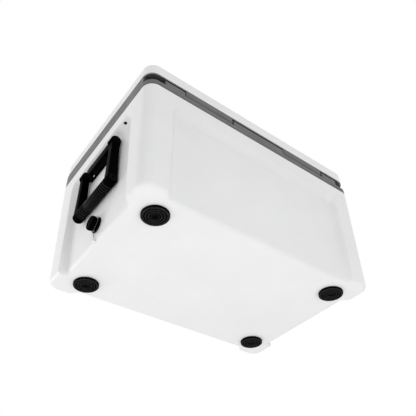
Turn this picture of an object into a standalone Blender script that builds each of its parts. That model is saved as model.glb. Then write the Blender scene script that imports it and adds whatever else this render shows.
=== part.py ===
"""Hard-sided cooler chest: an insulated tub, a hinged lid, two swing handles, two latches and a drain.

Metres, +Z up. The origin is on the floor, under the centre of the chest. +X points to the end with
the drain, and +Y to the hinge side.
"""

import math

import bmesh
import bpy
from mathutils import Matrix, Vector

MM = 0.001
GAP = 0.3 * MM
FOAM_GAP = 1.0 * MM
OVER = 10 * MM  # how far a cutter runs past what it cuts
FAR_OVER = 30 * MM
JOINT_GAP = 0.4 * MM  # between neighbouring hinge knuckles
SCREW_SHANK = 2 * MM
SCREW_HOLE = 2.5 * MM

# Tub
HALF_LENGTH = 0.345
HALF_WIDTH = 0.2328
TUB_BOTTOM = 0.007
TUB_TOP = 0.328
TUB_TAPER = 0.008
CORNER_RADIUS = 0.030
BOTTOM_RADIUS = 0.010
WALL = 0.003
PANEL_DEPTH = 0.018
PANEL_SLOPE = 0.35
PANEL_EDGE = 0.006
LEDGE_HEIGHT = 0.293
BACK_PANEL_HALF = 0.274
END_PANEL_HALF = 0.150

# Liner, with the collar round its mouth
COLLAR_TOP = 0.3705
CAVITY_HALF_LENGTH = 0.285
CAVITY_HALF_WIDTH = 0.172
CAVITY_FLOOR = 0.038
CAVITY_SLOPE = 0.024
CAVITY_RADIUS = 0.028
FLOOR_RADIUS = 0.004

# Lid
LID_HALF_LENGTH = 0.344
LID_HALF_WIDTH = 0.2297
LID_BOTTOM = 0.375
LID_TOP = 0.413
LID_PLATE = 0.003
LID_EDGE = 0.006
LID_INNER_EDGE = 0.004
PLUG_BOTTOM = 0.357
PLUG_CLEARANCE = 0.006
PLUG_EDGE = 0.003
GASKET_HALF_LENGTH = 0.308
GASKET_HALF_WIDTH = 0.1945
GASKET_WIDTH = 0.010

# Hinge along the back
HINGE_Y = 0.219
HINGE_Z = 0.360
KNUCKLE_RADIUS = 0.0118
POCKET_FLOOR = 0.345
POCKET_Y = 0.2065
KNUCKLE_JOINTS = (0.088, 0.238, 0.298)
ROD_RADIUS = 0.003
ROD_BORE = 0.0035

# Handles: a bracket across the end panel, and a bail that hangs from its two ends.
# An arm's pair of numbers is its nearest and farthest distance from the middle of the chest's width.
HANDLE_X = 0.3395
HANDLE_Z = 0.256
BRACKET_HALF = 0.062
BRACKET_LOW = 0.2385
BRACKET_HIGH = 0.2752
BRACKET_FACE = 0.3441
BRACKET_CHAMFER = 0.010
BRACKET_EDGE = 0.003
EYE_RADIUS = 0.0132
EYE_OUTER = 0.0885
BAIL_GAP = 0.0006
ARM_TOP = (0.0690, 0.0872)
ARM_TOP_HALF = 0.0100
ARM_FOOT = (0.0675, 0.0890)
ARM_FOOT_HALF = 0.0125
ARM_EDGE = 0.003
BAIL_END = 0.0895
GRIP_DROP = 0.1284
GRIP_INSET = 0.0026
GRIP_RADIUS = 0.0140
GRIP_HALF = 0.0672
GRIP_BORE = 0.0073
CORE_RADIUS = 0.0070
PIN_RADIUS = 0.003
PIN_HEAD_RADIUS = 0.0085
PIN_HEAD = 0.002
PIN_REACH = 0.018
BRACKET_SCREW_Y = 0.0395
BRACKET_SCREW_Z = 0.2425
BRACKET_SEAT_X = 0.3310
BRACKET_SEAT_RADIUS = 0.0062
BRACKET_SCREW_RADIUS = 0.0040
BRACKET_SCREW_HEAD = 0.002
BRACKET_SCREW_LENGTH = 0.022

# Drain
DRAIN_Z = 0.056
FLANGE_RADIUS = 0.0195
SPIGOT_RADIUS = 0.0115
DRAIN_BORE = 0.009
DRAIN_INNER_END = 0.266
FLANGE_THICKNESS = 0.004
WASHER_RADIUS = 0.0140
WASHER_THICKNESS = 0.0025
NUT_RADIUS = 0.0160
NUT_THICKNESS = 0.006
SEAL_INNER_RADIUS = 0.0089
SEAL_THICKNESS = 0.0012
PLUG_NECK_RADIUS = 0.0103
PLUG_NECK_LENGTH = 0.0035
STEM_LENGTH = 0.020
KNOB_RADIUS = 0.0175
KNOB_THICKNESS = 0.010
KNOB_EDGE = 0.002

# Cable that keeps the drain plug: a tail up from its anchor, and a noose round the plug's neck
CABLE_RADIUS = 0.0007
CABLE_X = 0.3272
TAIL_STANDOFF = 0.0026
TAIL_Y = -0.0050
TAIL_LOW = 0.0235
STRAND_Y = 0.0009
CRIMP_LOW = 0.0338
CRIMP_HIGH = 0.0393
CRIMP_HALF = (0.0017, 0.0027)
NOOSE_RADIUS = 0.0163
NOOSE_Z = 0.0611
NOOSE_TURN = math.radians(54)
NOOSE_TURN_RADIUS = 0.0040
ANCHOR_Z = 0.0142
ANCHOR_RADIUS = 0.0036
ANCHOR_FACE = 0.0042
ANCHOR_SHANK = 0.0016
ANCHOR_LENGTH = 0.012
FERRULE_RADIUS = 0.0012
FERRULE_LENGTH = 0.005

# Feet
FOOT_X = 0.262
FOOT_Y = 0.155
FOOT_RADIUS = 0.031
FOOT_EDGE = 0.0015
FOOT_RECESS = 0.0085
FOOT_RECESS_DEPTH = 0.004
FOOT_BORE = 0.0027
FOOT_SCREW_RADIUS = 0.0065
FOOT_SCREW_HEAD = 0.0022
FOOT_SCREW_LENGTH = 0.020
FOOT_SCREW_Z = 0.0014

# Vent plug, in the underside of the ledge over the end panel
VENT_X = 0.3355
VENT_Y = 0.1155
VENT_RADIUS = 0.0022
VENT_CAP_RADIUS = 0.0042
VENT_DEPTH = 0.008
VENT_CAP = 0.0024

# Latches on the front
LATCH_X = 0.170
LATCH_POCKET_HALF = 0.030
LATCH_POCKET_Y = -0.2168
LATCH_POCKET_LOW = 0.280
LATCH_POCKET_HIGH = 0.402
LATCH_PIN_Y = -0.2262
LATCH_PIN_Z = 0.392
STRAP_HALF = 0.015
STRAP_THICKNESS = 0.006
STRAP_LOW = 0.288
STRAP_EYE_RADIUS = 0.0052
LATCH_BORE_RADIUS = 0.0025
LATCH_PIN_RADIUS = 0.0021
CHEEK_GAP = 0.0012
CHEEK_THICKNESS = 0.005
CHEEK_FRONT = -0.006
ANCHOR_PLATE = 0.0026
ANCHOR_REACH = (-0.0095, 0.0085)
LUG_REACH = (-0.0080, 0.0065)
KEEPER_LOW = 0.296
KEEPER_HIGH = 0.322

# Colours
WHITE = (0.86, 0.87, 0.87)
GREY = (0.17, 0.18, 0.19)
BLACK = (0.012, 0.012, 0.013)
FOAM = (0.75, 0.68, 0.50)
STEEL = (0.60, 0.60, 0.60)


def clear_scene():
    for old in list(bpy.data.objects):
        bpy.data.objects.remove(old)


def add_collection(name):
    group = bpy.data.collections.new(name)
    bpy.context.scene.collection.children.link(group)
    return group


clear_scene()
PARTS = add_collection("cooler_chest")
CUTTERS = add_collection("cutters")


def material(name, colour, roughness, metallic=0.0):
    made = bpy.data.materials.new(name)
    made.use_nodes = True
    shader = made.node_tree.nodes["Principled BSDF"]
    shader.inputs["Base Color"].default_value = (*colour, 1.0)
    shader.inputs["Roughness"].default_value = roughness
    shader.inputs["Metallic"].default_value = metallic
    made.diffuse_color = (*colour, 1.0)
    return made


def add_part(name, mesh, colour, roughness=0.5, metallic=0.0, parent=None):
    """A visible sub-part with a material of its own."""
    part = bpy.data.objects.new(name, mesh)
    PARTS.objects.link(part)
    mesh.materials.append(material(name, colour, roughness, metallic))
    mesh.shade_smooth()
    mesh.set_sharp_from_angle(angle=math.radians(35))
    part.parent = parent
    return part


def add_cutter(name, mesh, parent=None):
    """A helper for the Booleans, left out of renders."""
    cutter = bpy.data.objects.new(name, mesh)
    CUTTERS.objects.link(cutter)
    cutter.hide_render = True
    cutter.display_type = "WIRE"
    cutter.parent = parent
    return cutter


def combine(target, others, operation):
    for other in others:
        step = target.modifiers.new(other.name, "BOOLEAN")
        step.operation = operation
        step.object = other


def cut(target, *cutters):
    combine(target, cutters, "DIFFERENCE")


def join(target, *others):
    combine(target, others, "UNION")


def axis_empty(name, position, turn=0.0):
    """An empty on a joint's axis, or at the place of a group of parts."""
    marker = bpy.data.objects.new(name, None)
    PARTS.objects.link(marker)
    marker.location = position
    marker.rotation_euler = (0, 0, turn)
    return marker


def mesh_from(name, shape):
    mesh = bpy.data.meshes.new(name)
    bmesh.ops.recalc_face_normals(shape, faces=shape.faces)
    shape.to_mesh(mesh)
    shape.free()
    return mesh


def bevel_edges(shape, edges, radius, segments):
    if radius > 0:
        bmesh.ops.bevel(
            shape, geom=edges, offset=radius, segments=segments, profile=0.5, affect="EDGES"
        )


def box_mesh(name, low, high, radius=0.0, segments=2):
    """A box between two corners, with its edges rounded where a radius is given."""
    shape = bmesh.new()
    bmesh.ops.create_cube(shape, size=1.0)
    low = Vector(low)
    high = Vector(high)
    for vert in shape.verts:
        for axis in range(3):
            vert.co[axis] = high[axis] if vert.co[axis] > 0 else low[axis]
    bevel_edges(shape, shape.edges[:], radius, segments)
    return mesh_from(name, shape)


def block_mesh(name, half_low, half_high, z_low, z_high, corner=0.0, low_edge=0.0, high_edge=0.0):
    """A rounded block with its own half length and half width at each end of its height."""
    shape = bmesh.new()
    bmesh.ops.create_cube(shape, size=1.0)
    for vert in shape.verts:
        is_low = vert.co.z < 0
        half = half_low if is_low else half_high
        for axis in range(2):
            vert.co[axis] = math.copysign(half[axis], vert.co[axis])
        vert.co.z = z_low if is_low else z_high
    upright = [e for e in shape.edges if abs(e.verts[0].co.z - e.verts[1].co.z) > 1e-6]
    bevel_edges(shape, upright, corner, 5)
    for level, radius in ((z_low, low_edge), (z_high, high_edge)):
        rim = [e for e in shape.edges if all(abs(v.co.z - level) < 1e-6 for v in e.verts)]
        bevel_edges(shape, rim, radius, 3)
    return mesh_from(name, shape)


def drawn_in(half, inset):
    return [reach - inset for reach in half]


def cylinder_mesh(name, radius, start, end, segments=20):
    """A cylinder from one point to another."""
    start = Vector(start)
    end = Vector(end)
    along = end - start
    turn = Vector((0, 0, 1)).rotation_difference(along).to_matrix().to_4x4()
    shape = bmesh.new()
    bmesh.ops.create_cone(
        shape, cap_ends=True, segments=segments, radius1=radius, radius2=radius,
        depth=along.length, matrix=Matrix.Translation((start + end) / 2) @ turn,
    )
    return mesh_from(name, shape)


def turned(name, outline, closed, colour, roughness=0.5, metallic=0.0, parent=None, steps=24):
    """A turned piece about its own Z, from an outline of (radius, height) points."""
    count = len(outline)
    edges = [(i, i + 1) for i in range(count - 1)]
    if closed:
        edges.append((count - 1, 0))
    mesh = bpy.data.meshes.new(name)
    mesh.from_pydata([(radius, 0, height) for radius, height in outline], edges, [])
    part = add_part(name, mesh, colour, roughness, metallic, parent)
    spin = part.modifiers.new("turn", "SCREW")
    spin.steps = steps
    spin.render_steps = steps
    spin.use_merge_vertices = True
    spin.merge_threshold = 0.00001
    spin.use_smooth_shade = True
    return part


def ring_outline(inner, outer, low, high):
    return [(outer, high), (outer, low), (inner, low), (inner, high)]


def screw_outline(head_radius, head, shank_radius, length):
    """A screw along Z: the head's top at 0, the shank below it."""
    return [
        (0, 0), (head_radius * 0.7, 0), (head_radius, -head * 0.5), (head_radius, -head),
        (shank_radius, -head), (shank_radius, -length), (0, -length),
    ]


# ---------------------------------------------------------------- tub, foam and liner

def tub_half(height):
    """Half length and half width of the tub's outside at a height."""
    share = (height - TUB_BOTTOM) / (TUB_TOP - TUB_BOTTOM)
    inward = TUB_TAPER * (1 - share)
    return HALF_LENGTH - inward, HALF_WIDTH - inward


def end_panel_x(height):
    """The recessed end panel's face, at a height."""
    return tub_half(height)[0] - PANEL_DEPTH


def panel_cutter(name, half_across, reach_low, reach_high, inset, turn):
    """The space in front of one recessed side panel, open at the bottom, with sloping borders."""
    base = TUB_BOTTOM - FAR_OVER
    shape = bmesh.new()
    bmesh.ops.create_cube(shape, size=1.0)
    share = (base - TUB_BOTTOM) / (TUB_TOP - TUB_BOTTOM)
    reach_base = reach_low + (reach_high - reach_low) * share
    share_ledge = (LEDGE_HEIGHT + inset - TUB_BOTTOM) / (TUB_TOP - TUB_BOTTOM)
    reach_ledge = reach_low + (reach_high - reach_low) * share_ledge
    for vert in shape.verts:
        is_outer = vert.co.y > 0
        is_low = vert.co.z < 0
        spread = PANEL_SLOPE * (PANEL_DEPTH + FAR_OVER) if is_outer else 0.0
        panel = (reach_base if is_low else reach_ledge) - PANEL_DEPTH - inset
        vert.co.x = math.copysign(half_across + inset + spread, vert.co.x)
        vert.co.y = panel + (PANEL_DEPTH + FAR_OVER if is_outer else 0.0)
        vert.co.z = base if is_low else LEDGE_HEIGHT + inset
    inner = [
        e for e in shape.edges
        if all(v.co.y < reach_low for v in e.verts) and any(v.co.z > 0 for v in e.verts)
    ]
    bevel_edges(shape, inner, PANEL_EDGE, 2)
    bmesh.ops.rotate(shape, verts=shape.verts, matrix=Matrix.Rotation(turn, 3, "Z"))
    return add_cutter(name, mesh_from(name, shape))


def latch_pocket(name, centre, inset):
    low = (centre - LATCH_POCKET_HALF - inset, -HALF_WIDTH - FAR_OVER, LATCH_POCKET_LOW - inset)
    high = (centre + LATCH_POCKET_HALF + inset, LATCH_POCKET_Y + inset, LATCH_POCKET_HIGH + inset)
    return add_cutter(name, box_mesh(name, low, high))


def hollows(name, inset):
    """The four panel recesses and the two latch pockets, grown by an inset."""
    found = []
    sides = (
        ("back", BACK_PANEL_HALF, HALF_WIDTH, 0.0),
        ("front", BACK_PANEL_HALF, HALF_WIDTH, math.pi),
        ("end_a", END_PANEL_HALF, HALF_LENGTH, -math.pi / 2),
        ("end_b", END_PANEL_HALF, HALF_LENGTH, math.pi / 2),
    )
    for side, half_across, reach, turn in sides:
        label = f"{name}_panel_{side}"
        found.append(panel_cutter(label, half_across, reach - TUB_TAPER, reach, inset, turn))
    for side, centre in (("left", -LATCH_X), ("right", LATCH_X)):
        found.append(latch_pocket(f"{name}_pocket_{side}", centre, inset))
    return found


def tub_mesh(name, inset, z_high):
    """The tub's outline drawn in by an inset, up to a height."""
    z_low = TUB_BOTTOM + inset
    return block_mesh(name, drawn_in(tub_half(z_low), inset), drawn_in(tub_half(z_high), inset),
                      z_low, z_high, CORNER_RADIUS - inset, BOTTOM_RADIUS)


def cavity_half(height):
    """Half length and half width of the liner's cavity at a height."""
    inward = CAVITY_SLOPE * (COLLAR_TOP - height)
    return CAVITY_HALF_LENGTH - inward, CAVITY_HALF_WIDTH - inward


def cavity_mesh(name, grow, z_high):
    """The liner's cavity, grown by a wall thickness, up to a height."""
    z_low = CAVITY_FLOOR - grow
    return block_mesh(name, drawn_in(cavity_half(z_low), -grow), drawn_in(cavity_half(z_high), -grow),
                      z_low, z_high, CAVITY_RADIUS + grow, FLOOR_RADIUS + grow)


def hinge_pocket(name, grow):
    low = (-HALF_LENGTH - FAR_OVER, POCKET_Y - grow, POCKET_FLOOR - grow)
    high = (HALF_LENGTH + FAR_OVER, HALF_WIDTH + FAR_OVER, COLLAR_TOP + FAR_OVER)
    return add_cutter(name, box_mesh(name, low, high))


def collar_mesh(name, inset, z_low, z_high):
    half = drawn_in((HALF_LENGTH, HALF_WIDTH), inset)
    return block_mesh(name, half, half, z_low, z_high, CORNER_RADIUS - inset)


def collar_hollow(name, inset):
    """The space under the collar's skin."""
    low = TUB_TOP - 0.0005
    hollow = add_cutter(name, collar_mesh(name, inset, low, COLLAR_TOP - inset))
    cut(hollow, hinge_pocket(f"{name}_hinge_pocket", inset))
    for side, centre in (("left", -LATCH_X), ("right", LATCH_X)):
        cut(hollow, latch_pocket(f"{name}_pocket_{side}", centre, inset))
    return hollow


def knuckle(name, x_low, x_high, web_low, web_high):
    """One hinge knuckle: a barrel round the axis and a web up to the lid or down to the collar."""
    barrel = add_cutter(name, cylinder_mesh(
        name, KNUCKLE_RADIUS, (x_low, HINGE_Y, HINGE_Z), (x_high, HINGE_Y, HINGE_Z), 24))
    web_name = f"{name}_web"
    web = add_cutter(web_name, box_mesh(
        web_name, (x_low, HINGE_Y - KNUCKLE_RADIUS, web_low),
        (x_high, HINGE_Y + KNUCKLE_RADIUS, web_high)))
    join(barrel, web)
    return barrel


def mirrored_spans(inner, outer):
    return ((inner + JOINT_GAP, outer - JOINT_GAP), (-outer + JOINT_GAP, -inner - JOINT_GAP))


def add_body(screw_holes):
    shell = add_part("body_shell", tub_mesh("body_shell", 0.0, TUB_TOP), WHITE, 0.35)
    cut(shell, *hollows("shell", 0.0))
    inside = add_cutter("shell_inside", tub_mesh("shell_inside", WALL, TUB_TOP + OVER))
    cut(inside, *hollows("inside", WALL))
    cut(shell, inside, *screw_holes)

    foam_inset = WALL + FOAM_GAP
    foam = add_part("body_foam", tub_mesh("body_foam", foam_inset, TUB_TOP - GAP), FOAM, 0.9)
    cut(foam, *hollows("foam", foam_inset))
    join(foam, collar_hollow("foam_collar", foam_inset))
    cut(foam, add_cutter("foam_cavity", cavity_mesh("foam_cavity", foam_inset, COLLAR_TOP + OVER)))
    cut(foam, *screw_holes)

    base = TUB_TOP + GAP
    liner = add_part("body_liner", collar_mesh("body_liner", 0.0, base, COLLAR_TOP), GREY, 0.45)
    cut(liner, collar_hollow("liner_hollow", WALL))
    join(liner, add_cutter("liner_wall", cavity_mesh("liner_wall", WALL, COLLAR_TOP - 0.001)))
    cut(liner, hinge_pocket("liner_pocket", 0.0))
    for side, centre in (("left", -LATCH_X), ("right", LATCH_X)):
        cut(liner, latch_pocket(f"liner_pocket_{side}", centre, 0.0))
    cut(liner, add_cutter("liner_cavity", cavity_mesh("liner_cavity", 0.0, COLLAR_TOP + OVER)))
    middle, joint, end = KNUCKLE_JOINTS
    spans = [(JOINT_GAP - middle, middle - JOINT_GAP), *mirrored_spans(joint, end)]
    for number, (x_low, x_high) in enumerate(spans):
        join(liner, knuckle(f"body_knuckle_{number}", x_low, x_high, POCKET_FLOOR - 0.001, HINGE_Z))
    bore = add_cutter("hinge_bore_body", cylinder_mesh(
        "hinge_bore_body", ROD_BORE, (-HALF_LENGTH - OVER, HINGE_Y, HINGE_Z),
        (HALF_LENGTH + OVER, HINGE_Y, HINGE_Z), 12))
    cut(liner, bore, *screw_holes)


# ---------------------------------------------------------------- lid

def add_lid():
    half = (LID_HALF_LENGTH, LID_HALF_WIDTH)
    corner = CORNER_RADIUS - 0.001
    hinge = axis_empty("lid_axis", (0, HINGE_Y, HINGE_Z))
    to_local = Matrix.Translation((0, -HINGE_Y, -HINGE_Z))

    def placed(part):
        part.parent = hinge
        part.data.transform(to_local)
        return part

    def lid_block(name, inset, z_low, z_high, high_edge=0.0):
        reach = drawn_in(half, inset)
        return block_mesh(name, reach, reach, z_low, z_high, corner - inset, 0.0, high_edge)

    shell = placed(add_part("lid_shell", lid_block(
        "lid_shell", 0.0, LID_BOTTOM, LID_TOP, LID_EDGE), WHITE, 0.35))
    inside = add_cutter("lid_inside", lid_block(
        "lid_inside", WALL, LID_BOTTOM - OVER, LID_TOP - WALL, LID_INNER_EDGE))
    foam_inset = WALL + GAP
    plate_top = LID_BOTTOM + GAP + LID_PLATE
    foam = placed(add_part("lid_foam", lid_block(
        "lid_foam", foam_inset, plate_top + GAP, LID_TOP - foam_inset, LID_INNER_EDGE), FOAM, 0.9))
    plate = placed(add_part("lid_liner", lid_block(
        "lid_liner", foam_inset, LID_BOTTOM + GAP, plate_top), GREY, 0.45))

    def plug_block(name, inset, z_high):
        z_low = PLUG_BOTTOM + inset
        grow = PLUG_CLEARANCE + inset
        return add_cutter(name, block_mesh(
            name, drawn_in(cavity_half(z_low), grow), drawn_in(cavity_half(z_high), grow),
            z_low, z_high, CAVITY_RADIUS - grow, PLUG_EDGE))

    join(plate, plug_block("plug_outside", 0.0, plate_top - 0.0005))
    cut(plate, plug_block("plug_inside", WALL, plate_top + OVER))
    join(foam, plug_block("plug_foam", foam_inset, plate_top + 0.002))

    for side, centre in (("left", -LATCH_X), ("right", LATCH_X)):
        cut(shell, latch_pocket(f"lid_pocket_{side}", centre, 0.0))
        cut(inside, latch_pocket(f"lid_inside_pocket_{side}", centre, WALL))
        cut(foam, latch_pocket(f"lid_foam_pocket_{side}", centre, foam_inset))
        cut(plate, latch_pocket(f"lid_plate_pocket_{side}", centre, foam_inset))
    cut(shell, inside)

    middle, joint, _ = KNUCKLE_JOINTS
    for number, (x_low, x_high) in enumerate(mirrored_spans(middle, joint)):
        lug = knuckle(f"lid_knuckle_{number}", x_low, x_high, HINGE_Z, LID_BOTTOM - GAP)
        root_name = f"lid_knuckle_root_{number}"
        root = add_cutter(root_name, box_mesh(
            root_name, (x_low, HINGE_Y - KNUCKLE_RADIUS, HINGE_Z + 0.005),
            (x_high, LID_HALF_WIDTH - foam_inset - 0.0005, plate_top - 0.001)))
        join(plate, lug, root)
    bore = add_cutter("hinge_bore_lid", cylinder_mesh(
        "hinge_bore_lid", ROD_BORE, (-HALF_LENGTH - OVER, HINGE_Y, HINGE_Z),
        (HALF_LENGTH + OVER, HINGE_Y, HINGE_Z), 12))
    cut(plate, bore)

    gasket_low = COLLAR_TOP + GAP
    outer = (GASKET_HALF_LENGTH, GASKET_HALF_WIDTH)
    inner = drawn_in(outer, GASKET_WIDTH)
    gasket = placed(add_part("lid_gasket", block_mesh(
        "lid_gasket", outer, outer, gasket_low, LID_BOTTOM, CORNER_RADIUS), BLACK, 0.8))
    cut(gasket, add_cutter("gasket_inside", block_mesh(
        "gasket_inside", inner, inner, gasket_low - OVER, LID_BOTTOM + OVER,
        CORNER_RADIUS - GASKET_WIDTH)))

    rod_end = KNUCKLE_JOINTS[2] - 0.001
    add_part("hinge_rod", cylinder_mesh(
        "hinge_rod", ROD_RADIUS, (-rod_end, HINGE_Y, HINGE_Z), (rod_end, HINGE_Y, HINGE_Z), 12),
        STEEL, 0.3, 1.0)


# ---------------------------------------------------------------- swing handles

def outline_mesh(name, points, half_across):
    """An (x, z) outline made solid along Y."""
    outline = bpy.data.curves.new(name, "CURVE")
    outline.dimensions = "2D"
    outline.fill_mode = "BOTH"
    outline.extrude = half_across
    path = outline.splines.new("POLY")
    path.points.add(len(points) - 1)
    for point, (x, z) in zip(path.points, points):
        point.co = (x, z, 0, 1)
    path.use_cyclic_u = True
    drawn = bpy.data.objects.new(name, outline)
    drawn.rotation_euler = (math.pi / 2, 0, 0)
    CUTTERS.objects.link(drawn)
    graph = bpy.context.evaluated_depsgraph_get()
    mesh = bpy.data.meshes.new_from_object(drawn.evaluated_get(graph))
    shape = bmesh.new()
    shape.from_mesh(mesh)
    bmesh.ops.remove_doubles(shape, verts=shape.verts, dist=0.00001)
    bmesh.ops.rotate(shape, verts=shape.verts, matrix=Matrix.Rotation(math.pi / 2, 3, "X"))
    bmesh.ops.recalc_face_normals(shape, faces=shape.faces)
    shape.to_mesh(mesh)
    shape.free()
    bpy.data.objects.remove(drawn)
    return mesh


def arm_mesh(name, side):
    """One arm of the bail, wider and thicker towards the grip."""
    shape = bmesh.new()
    bmesh.ops.create_cube(shape, size=1.0)
    for vert in shape.verts:
        is_foot = vert.co.z < 0
        near, far = ARM_FOOT if is_foot else ARM_TOP
        half = ARM_FOOT_HALF if is_foot else ARM_TOP_HALF
        vert.co.x = math.copysign(half, vert.co.x) - (GRIP_INSET if is_foot else 0.0)
        vert.co.y = side * (far if vert.co.y > 0 else near)
        vert.co.z = -GRIP_DROP if is_foot else 0.0
    long_edges = [e for e in shape.edges if abs(e.verts[0].co.z - e.verts[1].co.z) > ARM_EDGE]
    bevel_edges(shape, long_edges, ARM_EDGE, 2)
    return mesh_from(name, shape)


def bracket_outline():
    """The bracket's (x, z) section about the pivot, its back on the sloping end panel."""
    low = BRACKET_LOW - HANDLE_Z
    high = BRACKET_HIGH - HANDLE_Z
    face = BRACKET_FACE - HANDLE_X
    wall_low = end_panel_x(BRACKET_LOW) + GAP - HANDLE_X
    wall_high = end_panel_x(BRACKET_HIGH) + GAP - HANDLE_X
    return [(wall_low, low), (face - BRACKET_CHAMFER, low), (face, low + BRACKET_CHAMFER),
            (face, high - BRACKET_EDGE), (face - BRACKET_EDGE, high), (wall_high, high)]


def add_handle(side, place, turn):
    """Bracket, bail, grip, pins and screws of one handle, about its own pivot axis."""
    axis = axis_empty(f"handle_{side}_axis", place, turn)
    bracket_name = f"handle_{side}_bracket"
    bracket = add_part(bracket_name, outline_mesh(bracket_name, bracket_outline(), BRACKET_HALF),
                       BLACK, 0.4, parent=axis)

    def local_cylinder(name, radius, start, end, segments=20):
        return add_cutter(f"{side}_{name}", cylinder_mesh(name, radius, start, end, segments), axis)

    def on_grip(y):
        return (-GRIP_INSET, y, -GRIP_DROP)

    bail_name = f"handle_{side}_bail"
    eye_inner = BRACKET_HALF + BAIL_GAP
    bore_end = BRACKET_HALF - PIN_REACH
    bail = add_part(bail_name, cylinder_mesh(
        bail_name, CORE_RADIUS, on_grip(-ARM_FOOT[1]), on_grip(ARM_FOOT[1]), 16), BLACK, 0.4, parent=axis)
    for number, way in enumerate((-1, 1)):
        label = f"{side}_arm_{number}"
        join(bail, add_cutter(label, arm_mesh(label, way), axis))
        join(bail, local_cylinder(f"foot_{number}", GRIP_RADIUS, on_grip(way * (GRIP_HALF + GAP)),
                                  on_grip(way * BAIL_END)))
        join(bail, local_cylinder(f"eye_{number}", EYE_RADIUS, (0, way * eye_inner, 0),
                                  (0, way * EYE_OUTER, 0)))
        bore = local_cylinder(f"eye_bore_{number}", PIN_RADIUS + 0.5 * MM, (0, way * bore_end, 0),
                              (0, way * (EYE_OUTER + OVER), 0), 16)
        cut(bail, bore)
        cut(bracket, bore)
        head_top = EYE_OUTER + GAP + PIN_HEAD
        length = head_top - bore_end - GAP
        pin_name = f"handle_{side}_pin_{'front' if way < 0 else 'back'}"
        pin = turned(pin_name, [(0, 0), (PIN_HEAD_RADIUS, 0), (PIN_HEAD_RADIUS, -PIN_HEAD),
                                (PIN_RADIUS, -PIN_HEAD), (PIN_RADIUS, -length), (0, -length)],
                     False, BLACK, 0.4, 0.0, axis, 16)
        pin.rotation_euler = (-way * math.pi / 2, 0, 0)
        pin.location = (0, way * head_top, 0)

    grip = turned(f"handle_{side}_grip", ring_outline(GRIP_BORE, GRIP_RADIUS, -GRIP_HALF, GRIP_HALF),
                  True, BLACK, 0.7, 0.0, axis, 24)
    grip.rotation_euler = (math.pi / 2, 0, 0)
    grip.location = on_grip(0)

    screw_z = BRACKET_SCREW_Z - HANDLE_Z
    seat = BRACKET_SEAT_X - HANDLE_X
    outside = BRACKET_FACE - HANDLE_X + OVER
    holes = []
    for number, y in enumerate((-BRACKET_SCREW_Y, BRACKET_SCREW_Y)):
        hole = local_cylinder(f"bracket_hole_{number}", SCREW_HOLE,
                              (seat - BRACKET_SCREW_LENGTH - OVER, y, screw_z), (outside, y, screw_z), 10)
        counterbore = local_cylinder(f"bracket_seat_{number}", BRACKET_SEAT_RADIUS, (seat, y, screw_z),
                                     (outside, y, screw_z), 16)
        cut(bracket, hole, counterbore)
        holes.append(hole)
        screw = turned(f"handle_{side}_screw_{number}", screw_outline(
            BRACKET_SCREW_RADIUS, BRACKET_SCREW_HEAD, SCREW_SHANK, BRACKET_SCREW_LENGTH),
            False, STEEL, 0.3, 1.0, axis, 12)
        screw.rotation_euler = (0, math.pi / 2, 0)
        screw.location = (seat + GAP + BRACKET_SCREW_HEAD, y, screw_z)
    return holes


# ---------------------------------------------------------------- drain

def add_drain():
    wall = end_panel_x(DRAIN_Z + FLANGE_RADIUS) + GAP
    place = axis_empty("drain_axis", (wall, 0, DRAIN_Z))
    facing = (0, math.pi / 2, 0)

    def along_x(part):
        part.rotation_euler = facing
        return part

    inner_end = DRAIN_INNER_END - wall
    along_x(turned("drain_fitting", [
        (FLANGE_RADIUS - MM, FLANGE_THICKNESS), (FLANGE_RADIUS, FLANGE_THICKNESS - MM),
        (FLANGE_RADIUS, 0), (SPIGOT_RADIUS, 0), (SPIGOT_RADIUS, inner_end), (DRAIN_BORE, inner_end),
        (DRAIN_BORE, FLANGE_THICKNESS),
    ], True, BLACK, 0.45, 0.0, place))
    washer_outer_end = cavity_half(DRAIN_Z - FLANGE_RADIUS)[0] - wall - GAP
    washer_end = washer_outer_end - WASHER_THICKNESS
    along_x(turned("drain_washer", ring_outline(
        SPIGOT_RADIUS + GAP, WASHER_RADIUS, washer_end, washer_outer_end), True, BLACK, 0.8, 0.0, place))
    nut_high = washer_end - GAP
    along_x(turned("drain_nut", ring_outline(
        SPIGOT_RADIUS + 3 * GAP, NUT_RADIUS, nut_high - NUT_THICKNESS, nut_high), True, BLACK, 0.5, 0.0,
        place, 12))
    seal_low = FLANGE_THICKNESS + GAP
    seal_high = seal_low + SEAL_THICKNESS
    along_x(turned("drain_seal", ring_outline(SEAL_INNER_RADIUS, PLUG_NECK_RADIUS, seal_low, seal_high),
                   True, BLACK, 0.8, 0.0, place))
    neck = seal_high + GAP
    knob_low = neck + PLUG_NECK_LENGTH
    knob_high = knob_low + KNOB_THICKNESS
    stem = DRAIN_BORE - 0.5 * MM
    along_x(turned("drain_plug", [
        (0, knob_high), (KNOB_RADIUS - KNOB_EDGE, knob_high), (KNOB_RADIUS, knob_high - KNOB_EDGE),
        (KNOB_RADIUS, knob_low), (PLUG_NECK_RADIUS, knob_low), (PLUG_NECK_RADIUS, neck),
        (stem, neck), (stem, -STEM_LENGTH), (0, -STEM_LENGTH),
    ], False, BLACK, 0.45, 0.0, place))
    return add_cutter("drain_bore", cylinder_mesh(
        "drain_bore", SPIGOT_RADIUS + GAP, (DRAIN_INNER_END - OVER, 0, DRAIN_Z),
        (HALF_LENGTH + OVER, 0, DRAIN_Z), 24))


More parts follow.
